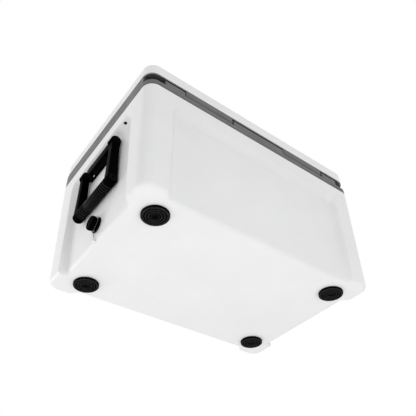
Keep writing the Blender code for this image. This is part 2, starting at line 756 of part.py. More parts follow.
def noose_half():
    """(y, z) points up one side of the noose, from the crimp's top to the top of its circle."""
    points = []
    steps = 5
    for step in range(steps):
        angle = NOOSE_TURN * step / steps
        points.append((STRAND_Y + NOOSE_TURN_RADIUS * (1 - math.cos(angle)),
                       CRIMP_HIGH + NOOSE_TURN_RADIUS * math.sin(angle)))
    first = math.pi / 2 - NOOSE_TURN
    steps = 16
    for step in range(steps + 1):
        angle = first + (math.pi - first) * step / steps
        points.append((NOOSE_RADIUS * math.sin(angle), NOOSE_Z - NOOSE_RADIUS * math.cos(angle)))
    return points


def cable_points():
    """Up from the ferrule to the crimp, once round the plug's neck, and back into the crimp."""
    tail_x = end_panel_x(ANCHOR_Z) + TAIL_STANDOFF
    points = []
    steps = 9
    for step in range(steps):
        share = step / steps
        ease = share * share * (3 - 2 * share)
        points.append((tail_x + (CABLE_X - tail_x) * ease, TAIL_Y - (STRAND_Y + TAIL_Y) * ease,
                       TAIL_LOW + (CRIMP_LOW - TAIL_LOW) * share))
    points.append((CABLE_X, -STRAND_Y, CRIMP_LOW))
    half = noose_half()
    points += [(CABLE_X, -y, z) for y, z in half]
    points += [(CABLE_X, y, z) for y, z in reversed(half[:-1])]
    points.append((CABLE_X, STRAND_Y, CRIMP_LOW))
    return points


def add_cable():
    line = bpy.data.curves.new("drain_cable", "CURVE")
    line.dimensions = "3D"
    line.bevel_depth = CABLE_RADIUS
    line.bevel_resolution = 2
    line.use_fill_caps = True
    path = line.splines.new("POLY")
    route = cable_points()
    path.points.add(len(route) - 1)
    for point, place in zip(path.points, route):
        point.co = (*place, 1)
    cable = bpy.data.objects.new("drain_cable", line)
    line.materials.append(material("drain_cable", STEEL, 0.35, 1.0))
    PARTS.objects.link(cable)

    low = (CABLE_X - CRIMP_HALF[0], -CRIMP_HALF[1], CRIMP_LOW)
    high = (CABLE_X + CRIMP_HALF[0], CRIMP_HALF[1], CRIMP_HIGH)
    crimp = add_part("cable_crimp", box_mesh("cable_crimp", low, high, 0.0005, 1), STEEL, 0.35, 1.0)
    for number, y in enumerate((-STRAND_Y, STRAND_Y)):
        name = f"crimp_bore_{number}"
        cut(crimp, add_cutter(name, cylinder_mesh(
            name, CABLE_RADIUS + GAP, (CABLE_X, y, CRIMP_LOW - 0.002),
            (CABLE_X, y, CRIMP_HIGH + 0.002), 12)))

    tail = Vector(route[0])
    ferrule = turned("cable_ferrule", [
        (0, 0), (FERRULE_RADIUS, 0), (FERRULE_RADIUS, -FERRULE_LENGTH), (0, -FERRULE_LENGTH),
    ], False, STEEL, 0.35, 1.0, None, 10)
    ferrule.location = (tail.x, tail.y, tail.z - GAP)
    anchor_x = end_panel_x(ANCHOR_Z)
    edge = 2 * GAP
    anchor = turned("cable_anchor", [
        (0, ANCHOR_FACE), (ANCHOR_RADIUS - edge, ANCHOR_FACE), (ANCHOR_RADIUS, ANCHOR_FACE - edge),
        (ANCHOR_RADIUS, GAP), (ANCHOR_SHANK, GAP), (ANCHOR_SHANK, -ANCHOR_LENGTH), (0, -ANCHOR_LENGTH),
    ], False, STEEL, 0.3, 1.0, None, 16)
    anchor.location = (anchor_x, TAIL_Y, ANCHOR_Z)
    anchor.rotation_euler = (0, math.pi / 2, 0)
    return add_cutter("anchor_hole", cylinder_mesh(
        "anchor_hole", ANCHOR_SHANK + JOINT_GAP, (anchor_x - ANCHOR_LENGTH - 4 * MM, TAIL_Y, ANCHOR_Z),
        (anchor_x + OVER, TAIL_Y, ANCHOR_Z), 10))


# ---------------------------------------------------------------- feet, vent and latches

def add_feet():
    holes = []
    names = (("front_left", -1, -1), ("front_right", 1, -1), ("back_left", -1, 1),
             ("back_right", 1, 1))
    for name, way_x, way_y in names:
        place = (way_x * FOOT_X, way_y * FOOT_Y, 0)
        top = TUB_BOTTOM - GAP
        foot = turned(f"foot_{name}", [
            (FOOT_RADIUS - MM, top), (FOOT_RADIUS, top - MM), (FOOT_RADIUS, FOOT_EDGE),
            (FOOT_RADIUS - FOOT_EDGE, 0), (FOOT_RECESS, 0), (FOOT_RECESS, FOOT_RECESS_DEPTH),
            (FOOT_BORE, FOOT_RECESS_DEPTH), (FOOT_BORE, top),
        ], True, BLACK, 0.75, 0.0, None, 24)
        foot.location = place
        screw = turned(f"foot_screw_{name}", screw_outline(
            FOOT_SCREW_RADIUS, FOOT_SCREW_HEAD, SCREW_SHANK, FOOT_SCREW_LENGTH),
            False, STEEL, 0.35, 1.0, None, 12)
        screw.rotation_euler = (math.pi, 0, 0)
        screw.location = (place[0], place[1], FOOT_SCREW_Z)
        label = f"foot_hole_{name}"
        holes.append(add_cutter(label, cylinder_mesh(
            label, SCREW_HOLE, (place[0], place[1], -OVER),
            (place[0], place[1], FOOT_SCREW_LENGTH + 4 * MM), 10)))
    return holes


def add_vent():
    place = Vector((VENT_X, VENT_Y, LEDGE_HEIGHT))
    vent = turned("vent_plug", [
        (0, VENT_DEPTH), (VENT_RADIUS, VENT_DEPTH), (VENT_RADIUS, -2 * GAP), (VENT_CAP_RADIUS, -2 * GAP),
        (VENT_CAP_RADIUS, 2 * GAP - VENT_CAP), (VENT_CAP_RADIUS - MM, -VENT_CAP), (0, -VENT_CAP),
    ], False, BLACK, 0.6, 0.0, None, 12)
    vent.location = place
    return add_cutter("vent_hole", cylinder_mesh(
        "vent_hole", VENT_RADIUS + JOINT_GAP, place - Vector((0, 0, OVER)),
        place + Vector((0, 0, VENT_DEPTH + 1.5 * MM)), 10))


def add_latch(side, centre):
    hinge = axis_empty(f"latch_{side}_axis", (centre, LATCH_PIN_Y, LATCH_PIN_Z))
    back = LATCH_POCKET_Y - GAP - LATCH_PIN_Y
    cheek_in = STRAP_HALF + CHEEK_GAP
    cheek_out = cheek_in + CHEEK_THICKNESS

    def cutter_box(name, low, high):
        return add_cutter(f"{side}_{name}", box_mesh(name, low, high), hinge)

    def cross_cylinder(name, radius, reach, segments=16):
        return cylinder_mesh(name, radius, (-reach, 0, 0), (reach, 0, 0), segments)

    anchor_name = f"latch_{side}_anchor"
    anchor = add_part(anchor_name, box_mesh(
        anchor_name, (-cheek_out, back - ANCHOR_PLATE, ANCHOR_REACH[0]),
        (cheek_out, back, ANCHOR_REACH[1])), BLACK, 0.45, parent=hinge)
    for number, way in enumerate((-1, 1)):
        reach = sorted((way * cheek_in, way * cheek_out))
        join(anchor, cutter_box(f"lug_{number}", (reach[0], -STRAP_EYE_RADIUS, LUG_REACH[0]),
                                (reach[1], back - MM, LUG_REACH[1])))
    bore = add_cutter(f"{side}_latch_bore", cross_cylinder(
        "latch_bore", LATCH_BORE_RADIUS, cheek_out + OVER, 12), hinge)
    cut(anchor, bore)

    strap_name = f"latch_{side}_strap"
    strap = add_part(strap_name, cross_cylinder(strap_name, STRAP_EYE_RADIUS, STRAP_HALF), BLACK, 0.7,
                     parent=hinge)
    bottom = STRAP_LOW - LATCH_PIN_Z
    join(strap, cutter_box("blade", (-STRAP_HALF, -STRAP_THICKNESS - GAP, bottom),
                           (STRAP_HALF, -GAP, 2 * MM)))
    cut(strap, bore)

    pin_name = f"latch_{side}_pin"
    add_part(pin_name, cross_cylinder(pin_name, LATCH_PIN_RADIUS, cheek_out - 0.5 * MM, 12),
             STEEL, 0.3, 1.0, parent=hinge)

    keeper_name = f"latch_{side}_keeper"
    keeper_low = KEEPER_LOW - LATCH_PIN_Z
    keeper_high = KEEPER_HIGH - LATCH_PIN_Z
    keeper = add_part(keeper_name, box_mesh(
        keeper_name, (-cheek_out, GAP, keeper_low),
        (cheek_out, back, keeper_high)), BLACK, 0.45, parent=hinge)
    for number, way in enumerate((-1, 1)):
        reach = sorted((way * cheek_in, way * cheek_out))
        join(keeper, cutter_box(f"cheek_{number}", (reach[0], CHEEK_FRONT, keeper_low),
                                (reach[1], 2 * MM, keeper_high)))


def main():
    holes = []
    holes += add_handle("right", (HANDLE_X, 0, HANDLE_Z), 0.0)
    holes += add_handle("left", (-HANDLE_X, 0, HANDLE_Z), math.pi)
    holes.append(add_drain())
    holes.append(add_cable())
    holes += add_feet()
    holes.append(add_vent())
    add_latch("left", -LATCH_X)
    add_latch("right", LATCH_X)
    add_body(holes)
    add_lid()


main()
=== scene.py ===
"""Looks for the hard-sided cooler chest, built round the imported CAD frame. Metres, +Z up."""

import math

import bmesh
import bpy
import numpy as np
from mathutils import Matrix, Vector


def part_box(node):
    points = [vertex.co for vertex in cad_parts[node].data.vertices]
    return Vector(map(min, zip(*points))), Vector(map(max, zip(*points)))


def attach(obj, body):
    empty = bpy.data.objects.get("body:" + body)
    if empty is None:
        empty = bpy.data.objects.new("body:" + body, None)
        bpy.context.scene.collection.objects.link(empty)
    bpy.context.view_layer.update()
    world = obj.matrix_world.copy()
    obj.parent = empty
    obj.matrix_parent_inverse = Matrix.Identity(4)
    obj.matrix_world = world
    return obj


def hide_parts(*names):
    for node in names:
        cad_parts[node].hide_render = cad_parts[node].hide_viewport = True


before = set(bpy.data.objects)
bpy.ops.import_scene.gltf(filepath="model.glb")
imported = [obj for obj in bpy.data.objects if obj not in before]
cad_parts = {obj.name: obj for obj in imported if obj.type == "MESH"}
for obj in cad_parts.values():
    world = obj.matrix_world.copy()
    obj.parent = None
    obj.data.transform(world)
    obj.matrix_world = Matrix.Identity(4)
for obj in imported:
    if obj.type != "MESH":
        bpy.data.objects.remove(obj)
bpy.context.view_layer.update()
SCENE = bpy.context.scene


def placed(name, data):
    """A new object in the scene."""
    made = bpy.data.objects.new(name, data)
    SCENE.collection.objects.link(made)
    return made


# ---- camera

CAMERA_PLACE = Vector((0.668, 0.847, -0.695))
CAMERA_AZIMUTH = math.radians(141.77)
CAMERA_ELEVATION = math.radians(-41.95)
CAMERA_ROLL = math.radians(-2.15)
CAMERA_LENS = 44.43


def add_camera():
    data = bpy.data.cameras.new("camera")
    data.lens = CAMERA_LENS
    data.clip_start = 0.01
    camera = placed("camera", data)
    camera.matrix_world = (Matrix.Translation(CAMERA_PLACE) @ Matrix.Rotation(CAMERA_AZIMUTH, 4, "Z")
                           @ Matrix.Rotation(math.pi / 2 - CAMERA_ELEVATION, 4, "X")
                           @ Matrix.Rotation(CAMERA_ROLL, 4, "Z"))
    SCENE.camera = camera


add_camera()

# The channel behind the lid's hinge, at the back of the collar
HINGE_FLOOR, HINGE_WALL = 0.345, 0.2065
# Painted shade on the lid lies from just inside its underside to just above its lowest edge
LID_SHADE_BOTTOM, LID_SHADE_TOP = 0.3746, 0.3755

# ---- procedural materials

# The colour sockets of a Mix node, which share their names with others
MIX_FIRST, MIX_SECOND, MIX_RESULT = 6, 7, 2


def colour_of(shade):
    """A node's output as it is; a grey level or a colour with its alpha."""
    if isinstance(shade, bpy.types.NodeSocket):
        return shade
    return (shade, shade, shade, 1) if isinstance(shade, float) else (*shade, 1)


class Nodes:
    """Builds one Principled material; every colour and bump comes from noise in object space."""

    def __init__(self, name):
        self.material = bpy.data.materials.new(name)
        self.material.use_nodes = True
        self.tree = self.material.node_tree
        self.place = self.add("TexCoord", {}).outputs["Object"]
        self.normal = {}

    def fill(self, node, inputs):
        """Sets a node's inputs to plain values or links them to other nodes' outputs."""
        for key, value in inputs.items():
            if isinstance(value, bpy.types.NodeSocket):
                self.tree.links.new(value, node.inputs[key])
            else:
                node.inputs[key].default_value = value

    def add(self, kind, inputs, **settings):
        node = self.tree.nodes.new("ShaderNode" + kind)
        for key, value in settings.items():
            setattr(node, key, value)
        self.fill(node, inputs)
        return node

    def noise(self, scale, detail=4, rough=0.55, stretch=None):
        place = self.place
        if stretch is not None:
            place = self.add("Mapping", {"Vector": place, "Scale": stretch}).outputs["Vector"]
        inputs = {"Vector": place, "Scale": scale, "Detail": detail, "Roughness": rough}
        return self.add("TexNoise", inputs).outputs["Fac"]

    def along(self, axis):
        return self.add("SeparateXYZ", {"Vector": self.place}).outputs[axis]

    def cells(self, scale):
        return self.add("TexVoronoi", {"Vector": self.place, "Scale": scale}).outputs["Distance"]

    def ramp(self, factor, low, high, stops=(0.3, 0.75)):
        """A colour ramp between two shades placed at two values of the factor."""
        node = self.add("ValToRGB", {"Fac": factor})
        for element, position, shade in zip(node.color_ramp.elements, stops, (low, high)):
            element.position = position
            element.color = colour_of(shade)
        return node.outputs["Color"]

    def spread(self, factor, low, high, stops=(0.3, 0.7)):
        """Maps the factor's range onto another."""
        names = ("Value", "From Min", "From Max", "To Min", "To Max")
        return self.add("MapRange", dict(zip(names, (factor, *stops, low, high)))).outputs["Result"]

    def mix(self, factor, first, second):
        """The first colour where the factor is 0 and the second where it is 1."""
        inputs = {"Factor": factor, MIX_FIRST: colour_of(first), MIX_SECOND: colour_of(second)}
        return self.add("Mix", inputs, data_type="RGBA").outputs[MIX_RESULT]

    def raise_by(self, height, strength, distance):
        """A bump on top of any earlier one."""
        inputs = {"Height": height, "Strength": strength, "Distance": distance, **self.normal}
        self.normal = {"Normal": self.add("Bump", inputs).outputs["Normal"]}

    def edge_highlight(self, sharp_at, soft_at):
        """1 on sharp convex edges, falling to 0 away from them: where painted highlights go."""
        pointed = self.add("NewGeometry", {}).outputs["Pointiness"]
        return self.spread(pointed, 0, 1, (soft_at, sharp_at))

    def finish(self, colour, roughness, specular=0.5, metallic=0):
        self.fill(self.tree.nodes["Principled BSDF"], {
            "Base Color": colour, "Roughness": roughness, "Specular IOR Level": specular,
            "Metallic": metallic, **self.normal})
        return self.material


GREY_STOPS = (0.28, 0.74)


def white_plastic(name, shaded_below=None):
    """Moulded satin polyethylene: faint mottling, orange peel and scuffs, with painted shade below one
    height.
    """
    n = Nodes(name)
    cloud = n.ramp(n.noise(7), (0.812, 0.813, 0.815), (0.846, 0.847, 0.848), (0.3, 0.72))
    speck = n.spread(n.noise(900, 2), 0, 1, (0.66, 0.8))
    colour = n.mix(speck, cloud, (0.7, 0.7, 0.69))
    if shaded_below is not None:
        # Painted shade: near-black below the given height, along the lid's lowest edge at the seam over the
        # collar
        low = n.spread(n.along("Z"), 1, 0, (shaded_below, shaded_below + 0.0002))
        colour = n.mix(low, colour, n.ramp(n.noise(90), 0.012, 0.024, GREY_STOPS))
    roughness = n.spread(n.noise(26, 6, 0.7, (1, 1, 3.5)), 0.34, 0.5, (0.35, 0.75))
    n.raise_by(n.noise(420, 3), 0.1, 0.0004)
    n.raise_by(n.noise(22, 2), 0.06, 0.0015)
    return n.finish(colour, roughness, 0.3)


def grey_plastic(name, shade_from=None):
    """Mottled grey plastic, speckled, or darkened with painted shade behind a depth along Y and above a
    height.
    """
    n = Nodes(name)
    colour = n.ramp(n.noise(11), (0.097, 0.098, 0.099), (0.125, 0.126, 0.127), GREY_STOPS)
    if shade_from is None:
        speck = n.spread(n.noise(700, 2), 0, 1, (0.62, 0.82))
        colour = n.mix(speck, colour, (0.24, 0.24, 0.245))
    else:
        depth, height = shade_from
        # Painted shade: darker grey behind the depth along Y and above the height
        channel = n.add("Math", {
            0: n.spread(n.along("Y"), 0, 1, (depth - 0.0015, depth - 0.0005)),
            1: n.spread(n.along("Z"), 0, 1, (height - 0.0002, height + 0.0006))}, operation="MULTIPLY")
        painted_shade = n.ramp(n.noise(90), 0.03, 0.052, GREY_STOPS)
        colour = n.mix(channel.outputs[0], colour, painted_shade)
    n.raise_by(n.noise(520, 3), 0.16, 0.0004)
    return n.finish(colour, n.spread(n.noise(34, 5, 0.65), 0.4, 0.56), 0.42)


def black_plastic():
    """Glass-filled black plastic with a fine etched grain, with painted highlights along its edges and a
    brighter one on its sharpest crests.
    """
    n = Nodes("black_plastic")
    base = n.ramp(n.noise(60), 0.0008, 0.0018)
    # Painted highlights: lighter colour on sharp convex edges, and brighter still on the sharpest ones such
    # as the arms' crests
    colour = n.mix(n.edge_highlight(0.62, 0.54), base, 0.008)
    colour = n.mix(n.edge_highlight(0.72, 0.62), colour, 0.14)
    n.raise_by(n.cells(1500), 0.16, 0.0003)
    return n.finish(colour, n.spread(n.noise(90, 5, 0.65), 0.24, 0.36), 0.003)


def soft_black():
    """Soft rubbery black, with a painted highlight along its ribs."""
    n = Nodes("soft_black")
    base = n.ramp(n.noise(45, 5), 0.0009, 0.0022, (0.32, 0.74))
    # Painted highlight: lighter colour on the ribs' crests
    colour = n.mix(n.edge_highlight(0.575, 0.535), base, 0.08)
    n.raise_by(n.noise(1100, 3), 0.22, 0.0003)
    return n.finish(colour, n.spread(n.noise(140), 0.34, 0.48), 0.025)


def foot_rubber():
    """Black rubber, grey where the rings touch the ground: scuffs there, and a painted highlight on the
    rings.
    """
    n = Nodes("foot_rubber")
    base = n.ramp(n.noise(55, 5), 0.0008, 0.0016, (0.3, 0.74))
    scuff_and_highlight = n.ramp(n.noise(160), (0.01, 0.01, 0.0098), (0.03, 0.03, 0.0295), (0.3, 0.7))
    # Scuffs and painted highlight: lighter grey on the ring tops nearest the ground
    colour = n.mix(n.spread(n.along("Z"), 1, 0, (0.0003, 0.0011)), base, scuff_and_highlight)
    n.raise_by(n.noise(900, 3), 0.24, 0.0003)
    return n.finish(colour, n.spread(n.noise(120), 0.4, 0.58), 0.004)


def seal_rubber():
    """Dull black rubber."""
    n = Nodes("seal_rubber")
    colour = n.ramp(n.noise(80), 0.0055, 0.012)
    n.raise_by(n.noise(1300, 2), 0.25, 0.0002)
    return n.finish(colour, n.spread(n.noise(200, 3), 0.55, 0.75), 0.14)


def insulating_foam():
    """Cream foam with dark pores."""
    n = Nodes("insulating_foam")
    colour = n.ramp(n.noise(30, 5), (0.66, 0.55, 0.34), (0.78, 0.68, 0.46), (0.3, 0.74))
    pore = n.cells(600)
    colour = n.mix(n.spread(pore, 0.5, 0, (0, 0.35)), colour, (0.48, 0.38, 0.22))
    n.raise_by(pore, 0.6, 0.0008)
    return n.finish(colour, n.spread(n.noise(200, 3), 0.82, 0.95))


def turned_steel():
    """Stainless steel with fine circular tool marks."""
    n = Nodes("steel")
    colour = n.ramp(n.noise(120), (0.62, 0.62, 0.63), (0.78, 0.78, 0.79))
    n.raise_by(n.noise(2600, 2), 0.12, 0.0001)
    return n.finish(colour, n.spread(n.noise(300, 5, 0.7, (1, 1, 6)), 0.2, 0.4), metallic=1)


def plain_metal(name, mottle, shades, at, grain, dullness):
    """A metal from one noise (scale, detail) for its shade and one for its roughness."""
    n = Nodes(name)
    colour = n.ramp(n.noise(*mottle), *shades, at)
    return n.finish(colour, n.spread(n.noise(*grain), *dullness), metallic=1)


LOOKS = {
    "white_shell": white_plastic("white_plastic"),
    "lid_white": white_plastic("lid_white", LID_SHADE_TOP),
    "grey_liner": grey_plastic("grey_plastic"),
    # Painted shade: the collar darkened in the channel behind the lid's hinge
    "hinge_channel_shade": grey_plastic("hinge_channel_shade", (HINGE_WALL, HINGE_FLOOR)),
    # Painted shade: the lid's grey underside darkened above a height, on the rim over the collar
    "lid_underside_shade": grey_plastic("lid_underside_shade", (-1, LID_SHADE_BOTTOM)),
    "black_plastic": black_plastic(),
    "soft_black": soft_black(),
    "foot_rubber": foot_rubber(),
    "seal_rubber": seal_rubber(),
    "foam": insulating_foam(),
    "steel": turned_steel(),
    "cable": plain_metal("cable_steel", (400, 3), (0.1, 0.22), (0.28, 0.75), (900, 3), (0.3, 0.48)),
    "satin": plain_metal("satin_steel", (200, 3), (0.8, 0.88), (0.28, 0.75), (600, 3), (0.46, 0.6)),
    "oxide": plain_metal("oxide_steel", (150, 4), (0.0008, 0.002), (0.3, 0.75), (320, 4),
                         (0.4, 0.56)),
}

# ---- mesh helpers

WELD = 1e-7
WALL, LID_WALL = 0.0018, 0.0025
ALONG_X = Matrix.Rotation(math.pi / 2, 4, "Y")


def at(x, y, z):
    return Matrix.Translation((x, y, z))


def piece(name, mesh, slot, replaces=(), sharp=35, look=None, body="chest"):
    """A finished mesh as a piece that rides on a CAD body and stands for CAD nodes."""
    made = placed(name, mesh)
    mesh.name = name
    mesh.materials.clear()
    mesh.materials.append(LOOKS[look or slot])
    mesh.shade_smooth()
    mesh.set_sharp_from_angle(angle=math.radians(sharp))
    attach(made, body)
    if replaces:
        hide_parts(*replaces)
    return made


def mesh_from(shape):
    """A bmesh as a mesh."""
    mesh = bpy.data.meshes.new("mesh")
    shape.to_mesh(mesh)
    shape.free()
    return mesh


def merged(meshes):
    """Several closed meshes as one."""
    shape = bmesh.new()
    for mesh in meshes:
        shape.from_mesh(mesh)
    bmesh.ops.remove_doubles(shape, verts=shape.verts, dist=WELD)
    return mesh_from(shape)


def moved(mesh, matrix):
    mesh.transform(matrix)
    if matrix.determinant() < 0:
        mesh.flip_normals()
    return mesh


def full_turn(steps):
    """Angles evenly round a circle."""
    return np.linspace(0, 2 * math.pi, steps, endpoint=False)


def mm(*points, start=0):
    """(radius, height) points in millimetres above a start, in metres."""
    return [(a / 1000, start + b / 1000) for a, b in points]


def quarter(radius, steps):
    """Pairs (radius - radius sin, radius - radius cos) along a quarter turn."""
    angles = [math.pi / 2 * step / steps for step in range(steps + 1)]
    return [(radius * (1 - math.sin(a)), radius * (1 - math.cos(a))) for a in angles]


def level(points, z):
    """The points' first two columns, at one height."""
    return np.column_stack([points[:, :2], np.full(len(points), z)])


def loft(rings, closed_ends=(True, True)):
    """Quads between successive closed rings of points, with the ends filled."""
    count = len(rings[0])
    last = (len(rings) - 1) * count
    faces = []
    for a in range(0, last, count):
        b = a + count
        faces += [(a + i, a + (i + 1) % count, b + (i + 1) % count, b + i) for i in range(count)]
    if closed_ends[0]:
        faces.append(tuple(range(count - 1, -1, -1)))
    if closed_ends[1]:
        faces.append(tuple(range(last, last + count)))
    mesh = bpy.data.meshes.new("loft")
    mesh.from_pydata(np.concatenate(rings).tolist(), [], faces)
    shape = bmesh.new()
    shape.from_mesh(mesh)
    bmesh.ops.remove_doubles(shape, verts=shape.verts, dist=WELD)
    bmesh.ops.dissolve_degenerate(shape, edges=shape.edges, dist=WELD)
    bmesh.ops.recalc_face_normals(shape, faces=shape.faces)
    return mesh_from(shape)


def baked(holder):
    """An object's mesh with its modifiers applied; the object goes."""
    graph = bpy.context.evaluated_depsgraph_get()
    made = bpy.data.meshes.new_from_object(holder.evaluated_get(graph))
    bpy.data.objects.remove(holder)
    return made


def thickened(mesh, thickness):
    """An open skin made into a wall that lies behind it."""
    holder = placed("holder", mesh)
    holder.modifiers.new("wall", "SOLIDIFY").thickness = thickness
    return baked(holder)


def smooth_step(value, low, high):
    share = np.clip((np.asarray(value, float) - low) / (high - low), 0, 1)
    return share * share * (3 - 2 * share)


def spaced(low, high, step):
    """Evenly spaced numbers from low to high, both included."""
    count = max(1, int(math.ceil((high - low) / step - 1e-9)))
    return [low + (high - low) * i / count for i in range(count + 1)]


def stations(reach, dense=()):
    """Sorted positions from -reach to reach: coarse, with finer runs of (low, high, step)."""
    found = {round(v, 6) for v in spaced(-reach, reach, 0.03)}
    for low, high, step in dense:
        found = {v for v in found if not low < abs(v) < high}
        found |= {round(v * way, 6) for v in spaced(low, high, step) for way in (-1, 1)}
    kept = [min(found)]
    for v in sorted(found):
        if v - kept[-1] > 0.0002:
            kept.append(v)
    return kept


class Outline:
    """A rounded rectangle walked round as columns that keep their place from row to row."""

    def __init__(self, long_columns, short_columns, fixed, corner_steps=14):
        self.columns = (long_columns, short_columns)
        self.fixed = fixed
        self.steps = corner_steps

    def along(self, which, end):
        """The columns of one side: those beyond the fixed reach stretch to the side's end."""
        columns, fixed = self.columns[which], self.fixed[which]
        last = columns[-1]
        return np.interp(columns, (-last, -fixed, fixed, last), (-end, -fixed, fixed, end))

    def ring(self, half, corner):
        """Rows of (x, y, outward x, outward y, side, place along the side); side -1 is a corner."""
        corner = max(corner, 0.0005)
        rows = []
        for side, (out_x, out_y) in enumerate(((0, -1), (1, 0), (0, 1), (-1, 0))):
            which = side % 2
            heading = (1, 1, -1, -1)[side]
            across = half[1 - which]
            for u in self.along(which, half[which] - corner) * heading:
                x, y = (across * out_x, u) if which else (u, across * out_y)
                rows.append((x, y, out_x, out_y, side, u))
            centre_x = (half[0] - corner) * heading
            centre_y = (half[1] - corner) * (-1, 1, 1, -1)[side]
            for step in range(1, self.steps):
                angle = math.pi / 2 * (side - 1 + step / self.steps)
                c, s = math.cos(angle), math.sin(angle)
                rows.append((centre_x + corner * c, centre_y + corner * s, c, s, -1, 0))
        return np.array(rows)


FRONT, RIGHT, BACK, LEFT = 0, 1, 2, 3

# ---- dimensions shared with the CAD

HALF_LENGTH, HALF_WIDTH = 0.345, 0.2328
TUB_BOTTOM, TUB_TOP, TUB_TAPER = 0.007, 0.328, 0.008
CORNER = 0.03
PANEL_DEPTH = 0.018
COLLAR_LOW, COLLAR_TOP = 0.3283, 0.3705
CAVITY_HALF = (0.285, 0.172)
CAVITY_FLOOR, CAVITY_SLOPE, CAVITY_CORNER = 0.038, 0.024, 0.028
LID_HALF = (0.344, 0.2297)
LID_BOTTOM, LID_TOP, LID_CORNER = 0.375, 0.413, 0.029
PLUG_BOTTOM, PLUG_CLEARANCE = 0.357, 0.006
HINGE_Y, HINGE_Z, KNUCKLE_RADIUS = 0.219, 0.36, 0.0118
HANDLE_X, HANDLE_Z = 0.3395, 0.256
BRACKET_HALF, BRACKET_LOW, BRACKET_HIGH, BRACKET_FACE = 0.062, 0.2385, 0.2752, 0.3441
BRACKET_CHAMFER = 0.01
SCREW_Y, SCREW_Z, SCREW_SEAT_X, SCREW_SEAT_RADIUS = 0.0395, 0.2425, 0.331, 0.0062
EYE_INNER, EYE_OUTER, EYE_RADIUS = 0.0626, 0.0885, 0.0132
ARM_TOP, ARM_TOP_HALF = (0.069, 0.0872), 0.01
ARM_FOOT, ARM_FOOT_HALF = (0.0675, 0.089), 0.0125
BAIL_END, GRIP_DROP, GRIP_INSET = 0.0895, 0.1284, 0.0026
GRIP_HALF, GRIP_RADIUS, GRIP_BORE, CORE_RADIUS = 0.0672, 0.014, 0.0073, 0.007
DRAIN_Z = 0.056
CABLE_X, CABLE_RADIUS = 0.3272, 0.0007
TAIL_Y, TAIL_LOW, STRAND_Y = -0.005, 0.0235, 0.0009
CRIMP_LOW, CRIMP_HIGH = 0.0338, 0.0393
NOOSE_RADIUS, NOOSE_Z, NOOSE_TURN, NOOSE_TURN_RADIUS = 0.0163, 0.0611, math.radians(54), 0.004
ANCHOR_Z, TAIL_STANDOFF = 0.0142, 0.0026
FOOT_X, FOOT_Y, FOOT_RADIUS = 0.262, 0.155, 0.031
LATCH_X, LATCH_HALF, LATCH_WALL = 0.17, 0.03, -0.2168
LATCH_LOW, LATCH_HIGH = 0.28, 0.402
LATCH_PIN_Y, LATCH_PIN_Z = -0.2262, 0.392


def tub_half(z):
    inward = TUB_TAPER * (1 - (z - TUB_BOTTOM) / (TUB_TOP - TUB_BOTTOM))
    return HALF_LENGTH - inward, HALF_WIDTH - inward


def end_panel_x(z):
    return tub_half(z)[0] - PANEL_DEPTH


def cavity_half(z):
    inward = CAVITY_SLOPE * (COLLAR_TOP - z)
    return CAVITY_HALF[0] - inward, CAVITY_HALF[1] - inward


# ---- the drain plug's cable, laid first


def cable_route():
    """Up from the ferrule to the crimp, once round the plug's neck, and back into the crimp."""
    tail_x = end_panel_x(ANCHOR_Z) + TAIL_STANDOFF
    points = []
    for share in np.arange(24) / 24:
        ease = smooth_step(share, 0, 1)
        points.append((tail_x + (CABLE_X - tail_x) * ease, TAIL_Y - (STRAND_Y + TAIL_Y) * ease,
                       TAIL_LOW + (CRIMP_LOW - TAIL_LOW) * share))
    half = [(STRAND_Y, CRIMP_LOW)]
    for share in np.arange(10) / 10:
        angle = NOOSE_TURN * share
        half.append((STRAND_Y + NOOSE_TURN_RADIUS * (1 - math.cos(angle)),
                     CRIMP_HIGH + NOOSE_TURN_RADIUS * math.sin(angle)))
    for angle in np.linspace(math.pi / 2 - NOOSE_TURN, math.pi, 57):
        half.append((NOOSE_RADIUS * math.sin(angle), NOOSE_Z - NOOSE_RADIUS * math.cos(angle)))
    points += [(CABLE_X, -y, z) for y, z in half]
    points += [(CABLE_X, y, z) for y, z in reversed(half[:-1])]
    return points


def distances(path):
    """How far along the path each of its points lies."""
    return np.concatenate([[0], np.cumsum(np.linalg.norm(np.diff(path, axis=0), axis=1))])


def resampled(points, step):
    """The same path with points evenly spaced along it."""
    points = np.array(points)
    reach = distances(points)
    count = int(round(reach[-1] / step))
    far = np.linspace(0, reach[-1], count + 1)
    return np.stack([np.interp(far, reach, points[:, i]) for i in range(3)], axis=1)


def strand_tube(path, radius, lobes, pitch, sides):
    """A laid wire rope: a tube whose lobes turn round it once a pitch."""
    tangents = np.gradient(path, axis=0)
    tangents /= np.linalg.norm(tangents, axis=1)[:, None]
    angles = full_turn(sides)
    first = np.array([1.0, 0, 0])
    rings = []
    for point, tangent, far in zip(path, tangents, distances(path)):
        first = first - tangent * (first @ tangent)
        first /= np.linalg.norm(first)
        second = np.cross(tangent, first)
        lay = 2 * math.pi * far / pitch
        reach = radius * (0.9 + 0.1 * np.abs(np.cos(lobes / 2 * (angles - lay))))
        rings.append(point + np.outer(reach * np.cos(angles), first)
                     + np.outer(reach * np.sin(angles), second))
    return loft(rings)


def turned(outline, steps=48, wave=None):
    """A turned mesh about Z from (radius, height) points; ends on the axis are closed."""
    angles = full_turn(steps)
    circle = np.array([np.cos(angles), np.sin(angles)])
    rings = []
    for radius, height in outline:
        reach = max(radius, 1e-6) * (wave(angles, radius) if wave else 1)
        rings.append(level((circle * reach).T, height))
    return loft(rings)


def turned_ring(outline, steps=48):
    """A turned mesh about Z whose outline closes on itself."""
    radius, height = np.array(outline).T
    rings = [np.stack([radius * math.cos(a), radius * math.sin(a), height], axis=1) for a in full_turn(steps)]
    return loft([*rings, rings[0]], (False, False))


